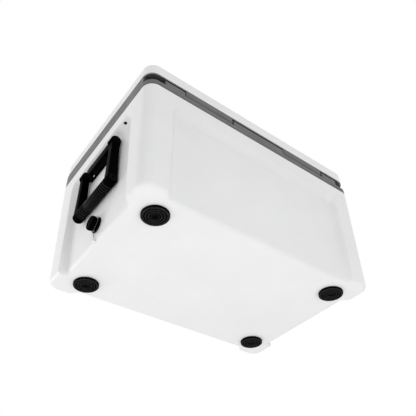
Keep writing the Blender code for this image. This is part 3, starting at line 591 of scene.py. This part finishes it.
def crimp_mesh():
    """A pressed oval sleeve with two waists, filling the CAD crimp's box."""
    low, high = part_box("cable_crimp")
    centre = (low + high) / 2
    half = (high - low) / 2
    angles = full_turn(40)
    c, s = [np.sign(v) * np.abs(v) ** 0.62 for v in (np.cos(angles), np.sin(angles))]
    swage = [(0, 0.72), (0.05, 0.92), (0.12, 1), (0.28, 1), (0.34, 0.86), (0.4, 1)]
    swage += [(1 - share, grow) for share, grow in reversed(swage)]
    return loft([level(np.array([centre.x + half.x * grow * c,
                                 centre.y + half.y * (0.5 + 0.5 * grow) * s]).T,
                       low.z + (high.z - low.z) * share) for share, grow in swage])


def ferrule_mesh():
    """A turned end sleeve with three grooves, filling the CAD ferrule's box."""
    low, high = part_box("cable_ferrule")
    radius = (high.x - low.x) / 2
    height = high.z - low.z
    profile = [(0, 0), (radius * 0.75, 0), (radius, 0.0004)]
    for groove in (0.3, 0.5, 0.7):
        profile += [(radius, height * groove - 0.0004), (radius * 0.86, height * groove),
                    (radius, height * groove + 0.0004)]
    profile += [(radius, height - 0.0004), (radius * 0.75, height), (0, height)]
    centre = (low + high) / 2
    return moved(turned(profile, 32), at(centre.x, centre.y, low.z))


def add_cable():
    route = resampled(cable_route(), 0.0004)
    rope = piece("drain_cable_rope", strand_tube(route, CABLE_RADIUS, 7, 0.0085, 21), "cable",
                 ["drain_cable"], 60)
    crimp = piece("cable_crimp_sleeve", crimp_mesh(), "cable", ["cable_crimp"])
    ferrule = piece("cable_ferrule_sleeve", ferrule_mesh(), "cable", ["cable_ferrule"], look="satin")
    anchor = sum(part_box("cable_anchor"), Vector()) / 2
    head = mm((0, 4.2), (1.2, 4.1), (2.4, 3.7), (3.2, 3), (3.6, 2), (3.6, 0.4), (1.6, 0.3),
              (1.6, -11.9), (0, -11.9))
    rivet_place = at(end_panel_x(ANCHOR_Z), anchor.y, anchor.z) @ ALONG_X
    piece("cable_anchor_rivet", moved(turned(head, 36), rivet_place), "steel", ["cable_anchor"],
          look="satin")


add_cable()

# ---- tub


def panel_share(u, z, across, top, soft_side, soft_top, corner):
    """1 inside a recessed panel that is open at the bottom, 0 outside it, smooth between."""
    out_u = np.abs(u) - (across - corner)
    out_z = z - (top - corner)
    pos_u = np.maximum(out_u, 0)
    pos_z = np.maximum(out_z, 0)
    distance = np.hypot(pos_u, pos_z) + np.minimum(np.maximum(out_u, out_z), 0) - corner
    square = pos_u ** 2 + pos_z ** 2
    lean = np.where(square > 0, pos_z ** 2 / np.maximum(square, 1e-12), out_z > out_u)
    soft = soft_side + (soft_top - soft_side) * lean
    return 1 - smooth_step(distance / soft, -1, 1)


def in_pocket(u, grow=0):
    """1 across a latch pocket, with walls a millimetre thick."""
    reach = LATCH_HALF + grow + 0.0005 - np.abs(np.abs(u) - LATCH_X)
    return np.clip(reach / 0.001, 0, 1)


def pocketed(ring, wall, share=1, grow=0):
    """The ring with its front drawn back to a wall across the latch pockets."""
    front = ring[:, 4] == FRONT
    ring[front, 1] += (wall - ring[front, 1]) * in_pocket(ring[front, 5], grow) * share
    return ring


def pocketed_outline(run, reach, short_columns, fixed, grow=0):
    """An outline with fine columns across the walls of both latch pockets, and one more run."""
    walls = [LATCH_X + way * (LATCH_HALF + grow) for way in (-1, 1)]
    fine = [(wall - 0.0015, wall + 0.0015, 0.0005) for wall in walls]
    return Outline(stations(reach, fine + run), short_columns, fixed)


def tub_shell():
    short_columns = stations(0.2028, [(0.128, 0.17, 0.0014)])
    outline = pocketed_outline([(0.244, 0.284, 0.0014)], 0.315, short_columns, (0.292, 0.18))
    heights = [0.327, 0.324, 0.32, 0.315, 0.31]
    for high, step, count in ((0.307, 0.0012, 8), (0.2984, 0.00045, 25), (0.287, 0.0011, 6),
                              (0.2812, 0.0004, 7), (0.2778, 0.0014, 20)):
        heights += [high - step * i for i in range(count)]
    heights += [0.24, 0.225, 0.205, 0.18, 0.155, 0.13, 0.105, 0.08, 0.06, 0.04, 0.027]
    rows = [(TUB_TOP, 0.0009), (TUB_TOP - 0.0003, 0.0003), (TUB_TOP - 0.0009, 0)]
    rows += [(height, 0) for height in heights]
    rows += [(TUB_BOTTOM + lift, inset) for lift, inset in quarter(0.012, 8)]
    rings = []
    for z, inset in rows:
        half = [reach - inset for reach in tub_half(z)]
        ring = outline.ring(half, CORNER - inset)
        x, y, _, _, side, u = ring.T
        depth = np.zeros(len(ring))
        for sides, right, across, soft_side, top, soft_top, corner in (
                ((FRONT, BACK), x > 0, (0.266, 0.269), (0.012, 0.007), 0.287, 0.017, 0.026),
                ((LEFT, RIGHT), y > 0, (0.15, 0.15), (0.012, 0.004), 0.2925, 0.0042, 0.022)):
            share = panel_share(u, z, np.where(right, *across), top, np.where(right, *soft_side),
                                soft_top, corner)
            depth = np.where(np.isin(side, sides), PANEL_DEPTH * share, depth)
        pocket = (half[1] + LATCH_WALL) * in_pocket(u) * np.clip((z - LATCH_LOW + 0.0005) / 0.001, 0, 1)
        depth = np.where(side == FRONT, np.maximum(depth, pocket), depth)
        rings.append(level(ring[:, :2] - depth[:, None] * ring[:, 2:4], z))
    return thickened(loft(rings, (False, True)), WALL)


piece("tub_shell", tub_shell(), "white_shell", ["body_shell"], 50)

# ---- collar and liner


def cavity_ring(outline, grow, z):
    """The cavity's outline at one height, grown by a margin."""
    half = [reach + grow for reach in cavity_half(z)]
    return level(outline.ring(half, CAVITY_CORNER + grow), z)


def liner_skin():
    """The collar's outside, over its top and mouth, down the cavity's walls to its floor."""
    outline = pocketed_outline([(0.208, 0.24, 0.008)], 0.315, stations(0.2028), (0.232, 0.125))
    edge = 0.0008
    rows = [(edge, COLLAR_LOW, HALF_WIDTH), (edge * 0.3, COLLAR_LOW + edge * 0.3, HALF_WIDTH),
            (0, COLLAR_LOW + edge, HALF_WIDTH), (0, 0.336, HALF_WIDTH)]
    rows += [(0, HINGE_FLOOR - a, HALF_WIDTH - b) for a, b in quarter(0.0014, 4)]
    rows.append((0, HINGE_FLOOR, 0.22))
    rows += [(0, HINGE_FLOOR + b, HINGE_WALL + a) for a, b in quarter(0.0035, 5)]
    rows.append((0, 0.36, HINGE_WALL))
    rows += [(b, COLLAR_TOP - a, HINGE_WALL - b) for a, b in quarter(0.0018, 5)]
    rings = []
    for inset, z, back in rows:
        ring = outline.ring((HALF_LENGTH - inset, HALF_WIDTH - inset), CORNER - inset)
        ring[:, 1] = np.minimum(ring[:, 1], back)
        rings.append(level(pocketed(ring, LATCH_WALL + inset), z))
    lip = 0.003
    outer = rings[-1]
    inner = cavity_ring(outline, lip, COLLAR_TOP)
    rings += [outer + (inner - outer) * share for share in (0.35, 0.7, 1)]
    rings += [cavity_ring(outline, a, COLLAR_TOP - b) for a, b in quarter(lip, 5)[1:]]
    rings += [cavity_ring(outline, 0, z) for z in (0.355, 0.32, 0.27, 0.22, 0.17, 0.12, 0.08)]
    rings += [cavity_ring(outline, -b, CAVITY_FLOOR + a) for a, b in quarter(0.01, 7)]
    return loft(rings, (False, True))


def knuckle(low, high, root, barrel=KNUCKLE_RADIUS):
    """A hinge barrel with its web, along X, rounded at both ends. The web reaches to the root."""
    ends = quarter(0.0006, 3)
    way = 1 if root < HINGE_Z else -1
    rings = []
    for x, drop in [(low + b, a) for a, b in ends] + [(high - b, a) for a, b in reversed(ends)]:
        radius = barrel - drop
        arc = [(x, HINGE_Y - radius * math.cos(a), HINGE_Z + way * radius * math.sin(a))
               for a in np.linspace(0, math.pi, 25)]
        rings.append([(x, HINGE_Y - radius, root), *arc, (x, HINGE_Y + radius, root)])
    return loft(rings)


JOINT_GAP = 0.0018
BODY_SPANS = [(-0.088, 0.088), (0.238, 0.298), (-0.298, -0.238)]
LID_SPANS = [(0.088, 0.238), (-0.238, -0.088)]

piece("liner_and_collar", thickened(liner_skin(), WALL), "grey_liner", ["body_liner"], 50,
      "hinge_channel_shade")
piece("body_hinge_knuckles",
      merged([knuckle(a + JOINT_GAP, b - JOINT_GAP, HINGE_FLOOR - 0.001) for a, b in BODY_SPANS]),
      "grey_liner")

# ---- lid


def lid_skin():
    """The lid's outside, from its lowest edge over the corner to the grooved top."""
    outline = pocketed_outline([(0.208, 0.24, 0.008)], 0.315, stations(0.2007), (0.232, 0.125))
    rows = [(0.0006, LID_BOTTOM), (0.0001, LID_BOTTOM + 0.0003), (0, LID_BOTTOM + 0.0008)]
    rows += [(0, z) for z in (0.38, 0.388, 0.396, 0.4005, 0.401)]
    rows += [(0, 0.4015 + 0.00035 * step) for step in range(4)]
    rows += [(b, LID_TOP - a) for a, b in quarter(0.006, 9)]
    rows += mm((27, 0), (28.5, 0), (29.2, -0.2), (30, -0.8), (30.8, -1), (33.5, -1), (34.3, -0.8),
               (35.1, -0.2), (35.8, 0), (40, 0), (80, 0), start=LID_TOP)
    rings = []
    for inset, z in rows:
        corner = max(LID_CORNER - inset, 0.014) if inset > 0.01 else LID_CORNER - inset
        ring = outline.ring([reach - inset for reach in LID_HALF], corner)
        share = np.clip((LATCH_HIGH + 0.0005 - z) / 0.001, 0, 1)
        rings.append(level(pocketed(ring, LATCH_WALL + inset, share), z))
    return loft(rings, (False, True))


def lid_liner_skin():
    """The grey plate under the lid and the plug that fills the chest's mouth, seen from below."""
    margin = 0.0033
    outline = pocketed_outline([(0.208, 0.24, 0.008)], 0.31, stations(0.197), (0.226, 0.12), margin)
    low = LID_BOTTOM + 0.0003
    rings = []
    for lift, draw in ((0.0027, 0), (0.0006, 0), (0, 0.0006)):
        inset = margin + draw
        ring = outline.ring([reach - inset for reach in LID_HALF], LID_CORNER - inset)
        rings.append(level(pocketed(ring, LATCH_WALL + inset, 1, margin), low + lift))
    root = 0.002
    outer = rings[-1]
    inner = cavity_ring(outline, root - PLUG_CLEARANCE, low)
    rings += [outer + (inner - outer) * share for share in (0.3, 0.65, 1)]
    rings += [cavity_ring(outline, a - PLUG_CLEARANCE, low - b) for a, b in quarter(root, 4)[1:]]
    rings += [cavity_ring(outline, -b - PLUG_CLEARANCE, PLUG_BOTTOM + a) for a, b in quarter(0.0045, 6)]
    for shrink, lift in ((0.016, 0), (0.0175, 0.0003), (0.019, 0.0012), (0.021, 0.0018),
                         (0.024, 0.002)):
        inset = PLUG_CLEARANCE + shrink
        half = [reach - inset for reach in cavity_half(PLUG_BOTTOM)]
        rings.append(level(outline.ring(half, max(CAVITY_CORNER - inset, 0.012)), PLUG_BOTTOM + lift))
    return loft(rings, (False, True))


def gasket_mesh():
    """A bulb seal: two round beads on a flat base."""
    outline = Outline(stations(0.278), stations(0.1645), (0.2, 0.12), 16)
    low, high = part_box("lid_gasket")
    width = 0.01
    tall = high.z - low.z
    profile = [(0, tall), (0, tall * 0.55)]
    for bead in (0.27, 0.73):
        for angle in np.linspace(math.pi, 0, 9):
            profile.append((width * bead + width * 0.235 * math.cos(angle),
                            tall * 0.45 * (1 - math.sin(angle))))
    profile += [(width, tall * 0.55), (width, tall), (0, tall)]
    rings = [level(outline.ring((high.x - inset, high.y - inset), CORNER - inset), low.z + lift)
             for inset, lift in profile]
    return loft(rings, (False, False))


piece("lid_shell_cover", thickened(lid_skin(), LID_WALL), "white_shell", ["lid_shell"], 50, "lid_white",
      body="lid")
piece("lid_liner_panel", thickened(lid_liner_skin(), WALL), "grey_liner", ["lid_liner"], 50,
      "lid_underside_shade", body="lid")
piece("lid_hinge_knuckles",
      merged([knuckle(a + JOINT_GAP, b - JOINT_GAP, LID_BOTTOM + 0.0002, 0.0105) for a, b in LID_SPANS]),
      "grey_liner", body="lid")
piece("lid_bulb_gasket", gasket_mesh(), "seal_rubber", ["lid_gasket"], 50, body="lid")

# ---- extruded and swept black parts


def rounded_polygon(points, radius, steps=5):
    """A convex outline with its corners rounded, as the same number of points for any radius."""
    found = []
    for i, point in enumerate(points):
        corner = Vector(point)
        before = Vector(points[i - 1]) - corner
        after = Vector(points[(i + 1) % len(points)]) - corner
        slope = math.tan(before.angle(after) / 2)
        r = min(radius, 0.45 * min(before.length, after.length) * slope)
        before.normalize()
        after.normalize()
        centre = corner + (before + after).normalized() * (r / math.sin(before.angle(after) / 2))
        first = corner + before * (r / slope) - centre
        last = corner + after * (r / slope) - centre
        turn = first.angle_signed(last) if first.length > 1e-9 else 0
        for share in np.linspace(0, 1, steps + 1):
            found.append(tuple(centre + Matrix.Rotation(-turn * share, 2) @ first))
    return found


def shrunk(points, inset):
    """A convex outline with each side moved inward."""
    corners = [Vector(point) for point in points]
    sides = list(zip(corners, corners[1:] + corners[:1]))
    area = sum(a.cross(b) for a, b in sides)
    lines = []
    for a, b in sides:
        along = (b - a).normalized()
        inward = Vector((-along.y, along.x)) * math.copysign(inset, area)
        lines.append((a + inward, along))
    made = []
    for (p, d), (q, e) in zip(lines[-1:] + lines[:-1], lines):
        made.append(tuple(p + d * ((q - p).cross(e) / d.cross(e))))
    return made


def oblong(half, low, high):
    """A rectangle's corners, from -half to half and from low to high."""
    return [(-half, low), (half, low), (half, high), (-half, high)]


def extruded(points, radius, low, high, edge):
    """A convex (a, b) outline run along its own third axis, rounded at its corners and both ends."""
    ends = quarter(edge, 4)
    rings = []
    for far, inset in [(low + b, a) for a, b in ends] + [(high - b, a) for a, b in reversed(ends)]:
        outline = rounded_polygon(shrunk(points, inset), max(radius - inset, 0.0001))
        rings.append([(a, b, far) for a, b in outline])
    return loft(rings)


# The point of an arm's rounded outline that is pushed out by a crest, whose painted highlight shows as a
# bright line
ARM_EDGE, ARM_CREST = 0.0035, 10
RIB_PITCH, RIB_HALF = 0.0075, 0.0019
XZ_ALONG_Y = Matrix(((1, 0, 0, 0), (0, 0, 1, 0), (0, 1, 0, 0), (0, 0, 0, 1)))


def rod_y(mesh, x, y, z, way=1):
    """A turned mesh laid along Y, its own +Z towards way."""
    return moved(mesh, at(x, y, z) @ Matrix.Rotation(-way * math.pi / 2, 4, "X"))


def ridged(radius, low, high, ridges, depth, edge):
    """(radius, height) points of a cylinder with rounded ends and ring grooves at the given heights."""
    ends = quarter(edge, 4)
    points = [(0, low)] + [(radius - a, low + b) for a, b in ends]
    for height, width in ridges:
        for share, drop in ((-0.5, 0), (-0.3, 0.75), (0, 1), (0.3, 0.75), (0.5, 0)):
            points.append((radius - depth * drop, height + width * share))
    return points + [(radius - a, high - b) for a, b in reversed(ends)] + [(0, high)]


def arm_section(share, way):
    """One level of an arm, from the pivot at 0 to the grip at 1, wider and thicker downwards."""
    near, far = [top + (foot - top) * share for top, foot in zip(ARM_TOP, ARM_FOOT)]
    half = ARM_TOP_HALF + (ARM_FOOT_HALF - ARM_TOP_HALF) * share
    waist = 0.0006 * math.sin(math.pi * share)
    x = -GRIP_INSET * share
    corners = [(x - half, near + waist), (x + half - waist, near + waist),
               (x + half - waist, far - waist), (x - half, far - waist)]
    outline = rounded_polygon(corners, ARM_EDGE, 6)
    crest = outline[ARM_CREST]
    outline[ARM_CREST] = (crest[0] + 0.0006, crest[1] - 0.0006)
    return [(a, way * b, -GRIP_DROP * share) for a, b in outline]


def bail_mesh():
    """Two arms with ringed pivot barrels above and ringed ends below, about the pivot axis."""
    meshes = []
    start = GRIP_HALF + 0.0003
    for way in (-1, 1):
        eye = ridged(EYE_RADIUS, 0, EYE_OUTER - EYE_INNER, [(0.0034, 0.0018)], 0.0009, 0.0042)
        meshes.append(rod_y(turned(eye, 64), 0, way * EYE_INNER, 0, way))
        grooves = [(height, 0.0026) for height in (0.003, 0.0075, 0.012)]
        foot = ridged(GRIP_RADIUS, 0, BAIL_END - start, grooves, 0.0011, 0.005)
        meshes.append(rod_y(turned(foot, 64), -GRIP_INSET, way * start, -GRIP_DROP, way))
        meshes.append(loft([arm_section(share, way) for share in np.linspace(0, 1, 15)]))
    core = [(0, -ARM_TOP[0]), (CORE_RADIUS, -ARM_TOP[0]), (CORE_RADIUS, ARM_TOP[0]), (0, ARM_TOP[0])]
    meshes.append(rod_y(turned(core, 32), -GRIP_INSET, 0, -GRIP_DROP))
    return merged(meshes)


def grip_mesh():
    """A soft sleeve with five rounded ribs near each end."""
    base = GRIP_RADIUS - 0.0022
    body = GRIP_RADIUS - 0.0003
    half = [(GRIP_BORE, GRIP_HALF), (base - 0.001, GRIP_HALF)]
    for number in range(5):
        rib = GRIP_HALF - 0.0022 - RIB_PITCH * number
        for share in (-1, -0.8, -0.45, 0, 0.45, 0.8, 1):
            rise = (GRIP_RADIUS - base) * math.sqrt(1 - share * share)
            half.append((base + rise, min(rib - RIB_HALF * share, GRIP_HALF)))
    last = rib - RIB_HALF
    half += [(base, last - 0.0008), (body - 0.0003, last - 0.0016), (body, last - 0.0026)]
    return turned_ring(half + [(radius, -height) for radius, height in reversed(half)], 72)


def bracket_mesh():
    """The bar across the panel that carries both pivots."""
    low, high = BRACKET_LOW - HANDLE_Z, BRACKET_HIGH - HANDLE_Z
    wall_low, wall_high = [end_panel_x(z) + 0.0003 - HANDLE_X for z in (BRACKET_LOW, BRACKET_HIGH)]
    face = BRACKET_FACE - HANDLE_X
    profile = [(wall_low, low), (face - BRACKET_CHAMFER, low), (face, low + BRACKET_CHAMFER),
               (face, high), (wall_high, high)]
    return moved(extruded(profile, 0.003, -BRACKET_HALF, BRACKET_HALF, 0.0012), XZ_ALONG_Y)


def carved(mesh, cutters):
    """A mesh with other closed meshes cut out of it."""
    target = placed("target", mesh)
    tools = [placed("tool", cutter) for cutter in cutters]
    for tool in tools:
        target.modifiers.new("cut", "BOOLEAN").object = tool
    made = baked(target)
    for tool in tools:
        bpy.data.objects.remove(tool)
    return made


def screw_head(radius, tall, drive, length):
    """A pan head with a hexagon recess on its shank, along Z with its top at 0."""
    profile = [(0, 0), (radius * 0.55, 0), (radius * 0.8, -tall * 0.12), (radius * 0.95, -tall * 0.38),
               (radius, -tall * 0.7), (radius, -tall), (0.002, -tall)]
    pitch = 0.0012
    z = -tall - pitch
    while z > pitch - length:
        profile += [(0.002, z), (0.0017, z - pitch / 2)]
        z -= pitch
    profile += [(0.0016, -length), (0, -length)]
    key = bmesh.new()
    bmesh.ops.create_cone(key, cap_ends=True, segments=6, radius1=drive, radius2=drive, depth=tall * 1.2)
    bmesh.ops.recalc_face_normals(key, faces=key.faces)
    return carved(turned(profile, 40), [mesh_from(key)])


def add_handle(side):
    """Bracket, bail, grip, pins and screws of one handle."""
    name = f"handle_{side}"
    way = 1 if side == "right" else -1
    place = at(way * HANDLE_X, 0, HANDLE_Z) @ Matrix.Rotation((1 - way) * math.pi / 2, 4, "Z")

    def screw_place(x, y):
        return at(x - HANDLE_X, y, SCREW_Z - HANDLE_Z) @ ALONG_X

    well = [(0, 0), (SCREW_SEAT_RADIUS, 0), (SCREW_SEAT_RADIUS, 0.02), (0, 0.02)]
    seats = [moved(turned(well, 40), screw_place(SCREW_SEAT_X, y)) for y in (-SCREW_Y, SCREW_Y)]
    piece(f"{name}_bracket_bar", moved(carved(bracket_mesh(), seats), place), "black_plastic",
          [f"{name}_bracket"], 40)
    piece(f"{name}_bail_frame", moved(bail_mesh(), place), "black_plastic", [f"{name}_bail"], 40,
          body=name)
    grip = rod_y(grip_mesh(), -GRIP_INSET, 0, -GRIP_DROP)
    piece(f"{name}_soft_grip", moved(grip, place), "soft_black", [f"{name}_grip"], 45, body=name)
    for end, turn in (("front", -1), ("back", 1)):
        low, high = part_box(f"{name}_pin_{end}")
        head = mm((0, 0), (2.6, 0), (3, -0.6), (5, -0.6), (5.4, -0.1), (7, -0.2), (8.1, -0.8),
                  (8.5, -1.6), (8.5, -2), (3, -2))
        head += mm((3, 0.4), (2.6, 0), (0, 0), start=low.y - high.y)
        pin = rod_y(turned(head, 40), 0, turn * (EYE_OUTER + 0.0023), 0, turn)
        piece(f"{name}_pin_{end}_cap", moved(pin, place), "black_plastic", [f"{name}_pin_{end}"])
    for number, y in enumerate((-SCREW_Y, SCREW_Y)):
        head = screw_head(0.004, 0.002, 0.0018, 0.022)
        piece(f"{name}_screw_{number}_head", moved(head, place @ screw_place(SCREW_SEAT_X + 0.0023, y)),
              "steel", [f"{name}_screw_{number}"])


add_handle("right")
add_handle("left")

# ---- drain


def fluted(angles, radius):
    """Twelve shallow finger flutes round the knob's rim, fading towards its middle."""
    share = smooth_step(radius, 0.014, 0.0165)
    return 1 - 0.045 * share * (0.5 + 0.5 * np.cos(12 * angles)) ** 2


def add_drain():
    """The fitting through the wall with its washer and nut, and the plug with its seal."""
    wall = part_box("drain_fitting")[1].x - 0.004
    place = at(wall, 0, DRAIN_Z) @ ALONG_X

    def span(node):
        """A node's two ends along the drain's axis, from the wall."""
        low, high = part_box(node)
        return low.x - wall, high.x - wall

    inner = span("drain_fitting")[0]
    flange = mm((9, 4), (11.2, 4), (11.8, 3.4), (15.2, 3.4), (16, 3.9), (18, 3.8), (19, 3.1),
                (19.5, 2), (19.5, 0.2), (11.5, 0.2))
    z = -0.03
    while z > inner + 0.001:
        flange += [(0.0115, z), (0.011, z - 0.00075)]
        z -= 0.0015
    flange += mm((11.5, 0.4), (11.1, 0), (9, 0), start=inner)
    piece("drain_flange", moved(turned_ring(flange, 72), place), "black_plastic", ["drain_fitting"], 30)
    low, high = span("drain_washer")
    ring = mm((11.8, 0), (13.6, 0), (14, 0.4), start=low)
    ring += mm((14, -0.4), (13.6, 0), (11.8, 0), start=high)
    piece("drain_rubber_washer", moved(turned_ring(ring, 56), place), "seal_rubber", ["drain_washer"],
          30)
    low, high = span("drain_nut")
    nut = turned_ring(mm((12.4, 0), (15, 0), (16, 1), start=low)
                      + mm((16, -0.3), (15.7, 0), (12.4, 0), start=high))
    for vert in nut.vertices:
        if vert.co.xy.length > 0.014:
            notch = 1 - 0.06 * max(0, math.cos(8 * math.atan2(vert.co.y, vert.co.x))) ** 3
            vert.co.xy *= notch
    piece("drain_lock_nut", moved(nut, place), "black_plastic", ["drain_nut"], 30)
    low, high = span("drain_seal")
    bead = [(0.0096 + 0.0007 * math.cos(a), (low + high) / 2 + (high - low) / 2 * math.sin(a))
            for a in full_turn(14)]
    piece("drain_seal_ring", moved(turned_ring(bead), place), "seal_rubber", ["drain_seal"], 60,
          body="drain_seal")
    stem, top = span("drain_plug")
    base = top - 0.01
    neck = base - 0.0035
    knob = mm((0, 0), (7, 0), (8.5, 1.2), start=stem)
    z = stem + 0.002
    while z < neck - 0.004:
        knob += [(0.0085, z), (0.0079, z + 0.0008)]
        z += 0.0016
    knob += mm((8.5, -1), (8.5, 0), (9.8, 0), (10.3, 0.4), start=neck)
    knob += mm((10.3, -1.4), (15, -1.6), (16.6, -1.5), (17.3, -1), (17.5, 0), start=base)
    knob += mm((17.5, -3.2), (17.1, -1.5), (16, -0.4), (14.8, 0), (13.6, -0.2), (12.8, -1),
               (12, -1.6), (6, -1.6), (0, -1.6), start=top)
    bar = extruded(oblong(0.0115, -0.0026, 0.0026), 0.002, top - 0.003, top - 0.0002, 0.0009)
    piece("drain_plug_knob", moved(merged([turned(knob, 144, fluted), bar]), place), "black_plastic",
          ["drain_plug"], 40, body="drain_plug")


add_drain()

# ---- feet and vent


def foot_mesh():
    """A rubber disc with ring ridges on its underside and a screw well in the middle."""
    top = TUB_BOTTOM - 0.0003
    points = [(0.0027, top), (FOOT_RADIUS - 0.001, top), (FOOT_RADIUS, top - 0.001)]
    points += [(FOOT_RADIUS - b, a) for a, b in quarter(0.0022, 5)]
    half_groove = mm((1.9, 0), (1.6, 0.3), (1.2, 1.2), (0.8, 2.6))
    for groove in (0.0232, 0.017, 0.0108):
        points += [(groove + across, deep) for across, deep in half_groove]
        points += [(groove - across, deep) for across, deep in reversed(half_groove)]
    points += mm((8.2, 0), (7.8, 0.3), (7.6, 1), (7.5, 4), (2.7, 4))
    return turned_ring(points, 80)


def add_foot(name, x, y):
    place = at(x, y, 0)
    piece(f"foot_{name}_pad", moved(foot_mesh(), place), "foot_rubber", [f"foot_{name}"], 30)
    head_down = at(0, 0, 0.0014) @ Matrix.Rotation(math.pi, 4, "X")
    screw = moved(screw_head(0.0065, 0.0022, 0.0026, 0.02), place @ head_down)
    piece(f"foot_screw_{name}_head", screw, "steel", [f"foot_screw_{name}"], look="oxide")


add_foot("front_left", -FOOT_X, -FOOT_Y)
add_foot("front_right", FOOT_X, -FOOT_Y)
add_foot("back_left", -FOOT_X, FOOT_Y)
add_foot("back_right", FOOT_X, FOOT_Y)


def add_vent():
    low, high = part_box("vent_plug")
    place = at((low.x + high.x) / 2, (low.y + high.y) / 2, low.z + 0.0024)
    cap = mm((0, 8), (2.2, 8), (2.2, -0.4), (4, -0.4), (4.2, -0.9), (4.1, -1.6), (3.4, -2.3),
             (2.2, -2.4), (1.8, -2), (0.8, -1.8), (0, -1.8))
    piece("vent_plug_cap", moved(turned(cap, 40), place), "seal_rubber", ["vent_plug"])


add_vent()

# ---- latches


def rounded_box(low, high, radius, edge):
    """A box from its corners, its long edges rounded by a radius and its ends by an edge."""
    outline = [(low[0], low[2]), (high[0], low[2]), (high[0], high[2]), (low[0], high[2])]
    return moved(extruded(outline, radius, low[1], high[1], edge), XZ_ALONG_Y)


def strap_blade():
    """The latch's rubber strap below its barrel: waisted, ribbed at its lower end."""
    front, rear = -0.0063, -0.0003
    rib_top, rib_end, rib_pitch = 0.078, 0.099, 0.0042
    depth, wide, thin = np.array((
        (-1.5, 15, 0), (10, 15, 0), (22, 13.8, 0.6), (38, 11.8, 1.2), (56, 11.8, 1.2), (68, 13.8, 0.6),
        (78, 15, 0), (96, 15, 0), (101.5, 14.4, 0), (103.4, 12.8, 0.6), (104, 10.5, 1.6))).T / 1000
    rings = []
    for z in spaced(depth[0], depth[-1], 0.0012):
        rib = 0
        if rib_top < z < rib_end:
            rib = 0.0007 * (0.5 - 0.5 * math.cos(2 * math.pi * (z - rib_top) / rib_pitch))
        box = oblong(np.interp(z, depth, wide), front + np.interp(z, depth, thin) + rib, rear)
        rings.append([(a, b, -z) for a, b in rounded_polygon(box, 0.0018, 4)])
    return loft(rings)


def add_latch(side, centre):
    """Anchor, pin and strap on the lid, and the keeper on the collar."""
    name = f"latch_{side}"
    place = at(centre, LATCH_PIN_Y, LATCH_PIN_Z)
    back = LATCH_WALL - 0.0003 - LATCH_PIN_Y
    inside, outside = 0.0162, 0.0212
    low, high = 0.296 - LATCH_PIN_Z, 0.322 - LATCH_PIN_Z
    anchor = [rounded_box((-outside, back - 0.0026, -0.0095), (outside, back, 0.0085), 0.0022, 0.0006)]
    keeper = [rounded_box((-outside, 0.0003, low), (outside, back, high), 0.0022, 0.0008)]
    for a, b in ((-outside, -inside), (inside, outside)):
        anchor.append(rounded_box((a, -0.0052, -0.008), (b, back - 0.001, 0.0065), 0.0022, 0.0007))
        keeper.append(rounded_box((a, -0.006, low), (b, 0.002, high), 0.0022, 0.0009))
    piece(f"{name}_anchor_plate", moved(merged(anchor), place), "black_plastic", [f"{name}_anchor"],
          body="lid")
    piece(f"{name}_keeper_block", moved(merged(keeper), place), "black_plastic", [f"{name}_keeper"])
    pin = mm((0, -20.7), (1.6, -20.7), (2.1, -20.2), (2.1, 20.2), (1.6, 20.7), (0, 20.7))
    piece(f"{name}_pin_rod", moved(turned(pin, 28), place @ ALONG_X), "steel", [f"{name}_pin"],
          body="lid")
    barrel = mm((0, -15), (4.4, -15), (5.2, -14.1), (5.2, 14.1), (4.4, 15), (0, 15))
    strap = merged([moved(turned(barrel, 40), ALONG_X), strap_blade()])
    piece(f"{name}_rubber_strap", moved(strap, place), "soft_black", [f"{name}_strap"], 40, body=name)


add_latch("left", -LATCH_X)
add_latch("right", LATCH_X)

# ---- CAD nodes that keep their shape

for node_name, slot, look in (("body_foam", "foam", "foam"), ("lid_foam", "foam", "foam"),
                              ("hinge_rod", "steel", "oxide")):
    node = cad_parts[node_name]
    node.data.materials.clear()
    node.data.materials.append(LOOKS[look])

# ---- stage

WALL_LIGHT = 0.46
LIGHTS = (
    ("left", (1.25, -1.55, -0.2), 0.8, 9),
    ("right", (-0.2, 1.75, -0.75), 0.8, 3.4),
    ("below", (0.3, 0.35, -1.45), 1.2, 4.2),
)


def floor_material():
    n = Nodes("studio_floor")
    colour = n.ramp(n.noise(1.5, 3), 0.8, 0.84, (0.3, 0.7))
    return n.finish(colour, n.spread(n.noise(6, 3), 0.75, 0.9))


def studio_world():
    """A white room whose walls are dimmer near the level of the chest than above it."""
    world = bpy.data.worlds.new("studio")
    world.use_nodes = True
    tree = world.node_tree
    background = tree.nodes["Background"]
    background.inputs["Color"].default_value = (1, 1, 1, 1)
    place = tree.nodes.new("ShaderNodeTexCoord")
    parts = tree.nodes.new("ShaderNodeSeparateXYZ")
    rise = tree.nodes.new("ShaderNodeMapRange")
    rise.interpolation_type = "SMOOTHSTEP"
    for name, value in (("From Min", 0.1), ("From Max", 0.32), ("To Min", WALL_LIGHT), ("To Max", 1)):
        rise.inputs[name].default_value = value
    tree.links.new(place.outputs["Generated"], parts.inputs["Vector"])
    tree.links.new(parts.outputs["Z"], rise.inputs["Value"])
    tree.links.new(rise.outputs["Result"], background.inputs["Strength"])
    return world


def add_stage():
    """A pale floor well below the camera, which looks up at the chest, and three soft lights."""
    shape = bmesh.new()
    bmesh.ops.create_grid(shape, x_segments=8, y_segments=8, size=9)
    bmesh.ops.recalc_face_normals(shape, faces=shape.faces)
    floor = placed("studio_floor", mesh_from(shape))
    floor.location = (0, 0, -1.6)
    floor.data.materials.append(floor_material())
    SCENE.world = studio_world()
    aim = Vector((0, 0, 0.15))
    for name, place, size, power in LIGHTS:
        data = bpy.data.lights.new(name, "AREA")
        data.shape = "DISK"
        data.size = size
        data.energy = power
        light = placed(name, data)
        light.location = place
        light.rotation_euler = (aim - Vector(place)).to_track_quat("-Z", "Y").to_euler()


add_stage()
SCENE.view_settings.view_transform = "Standard"
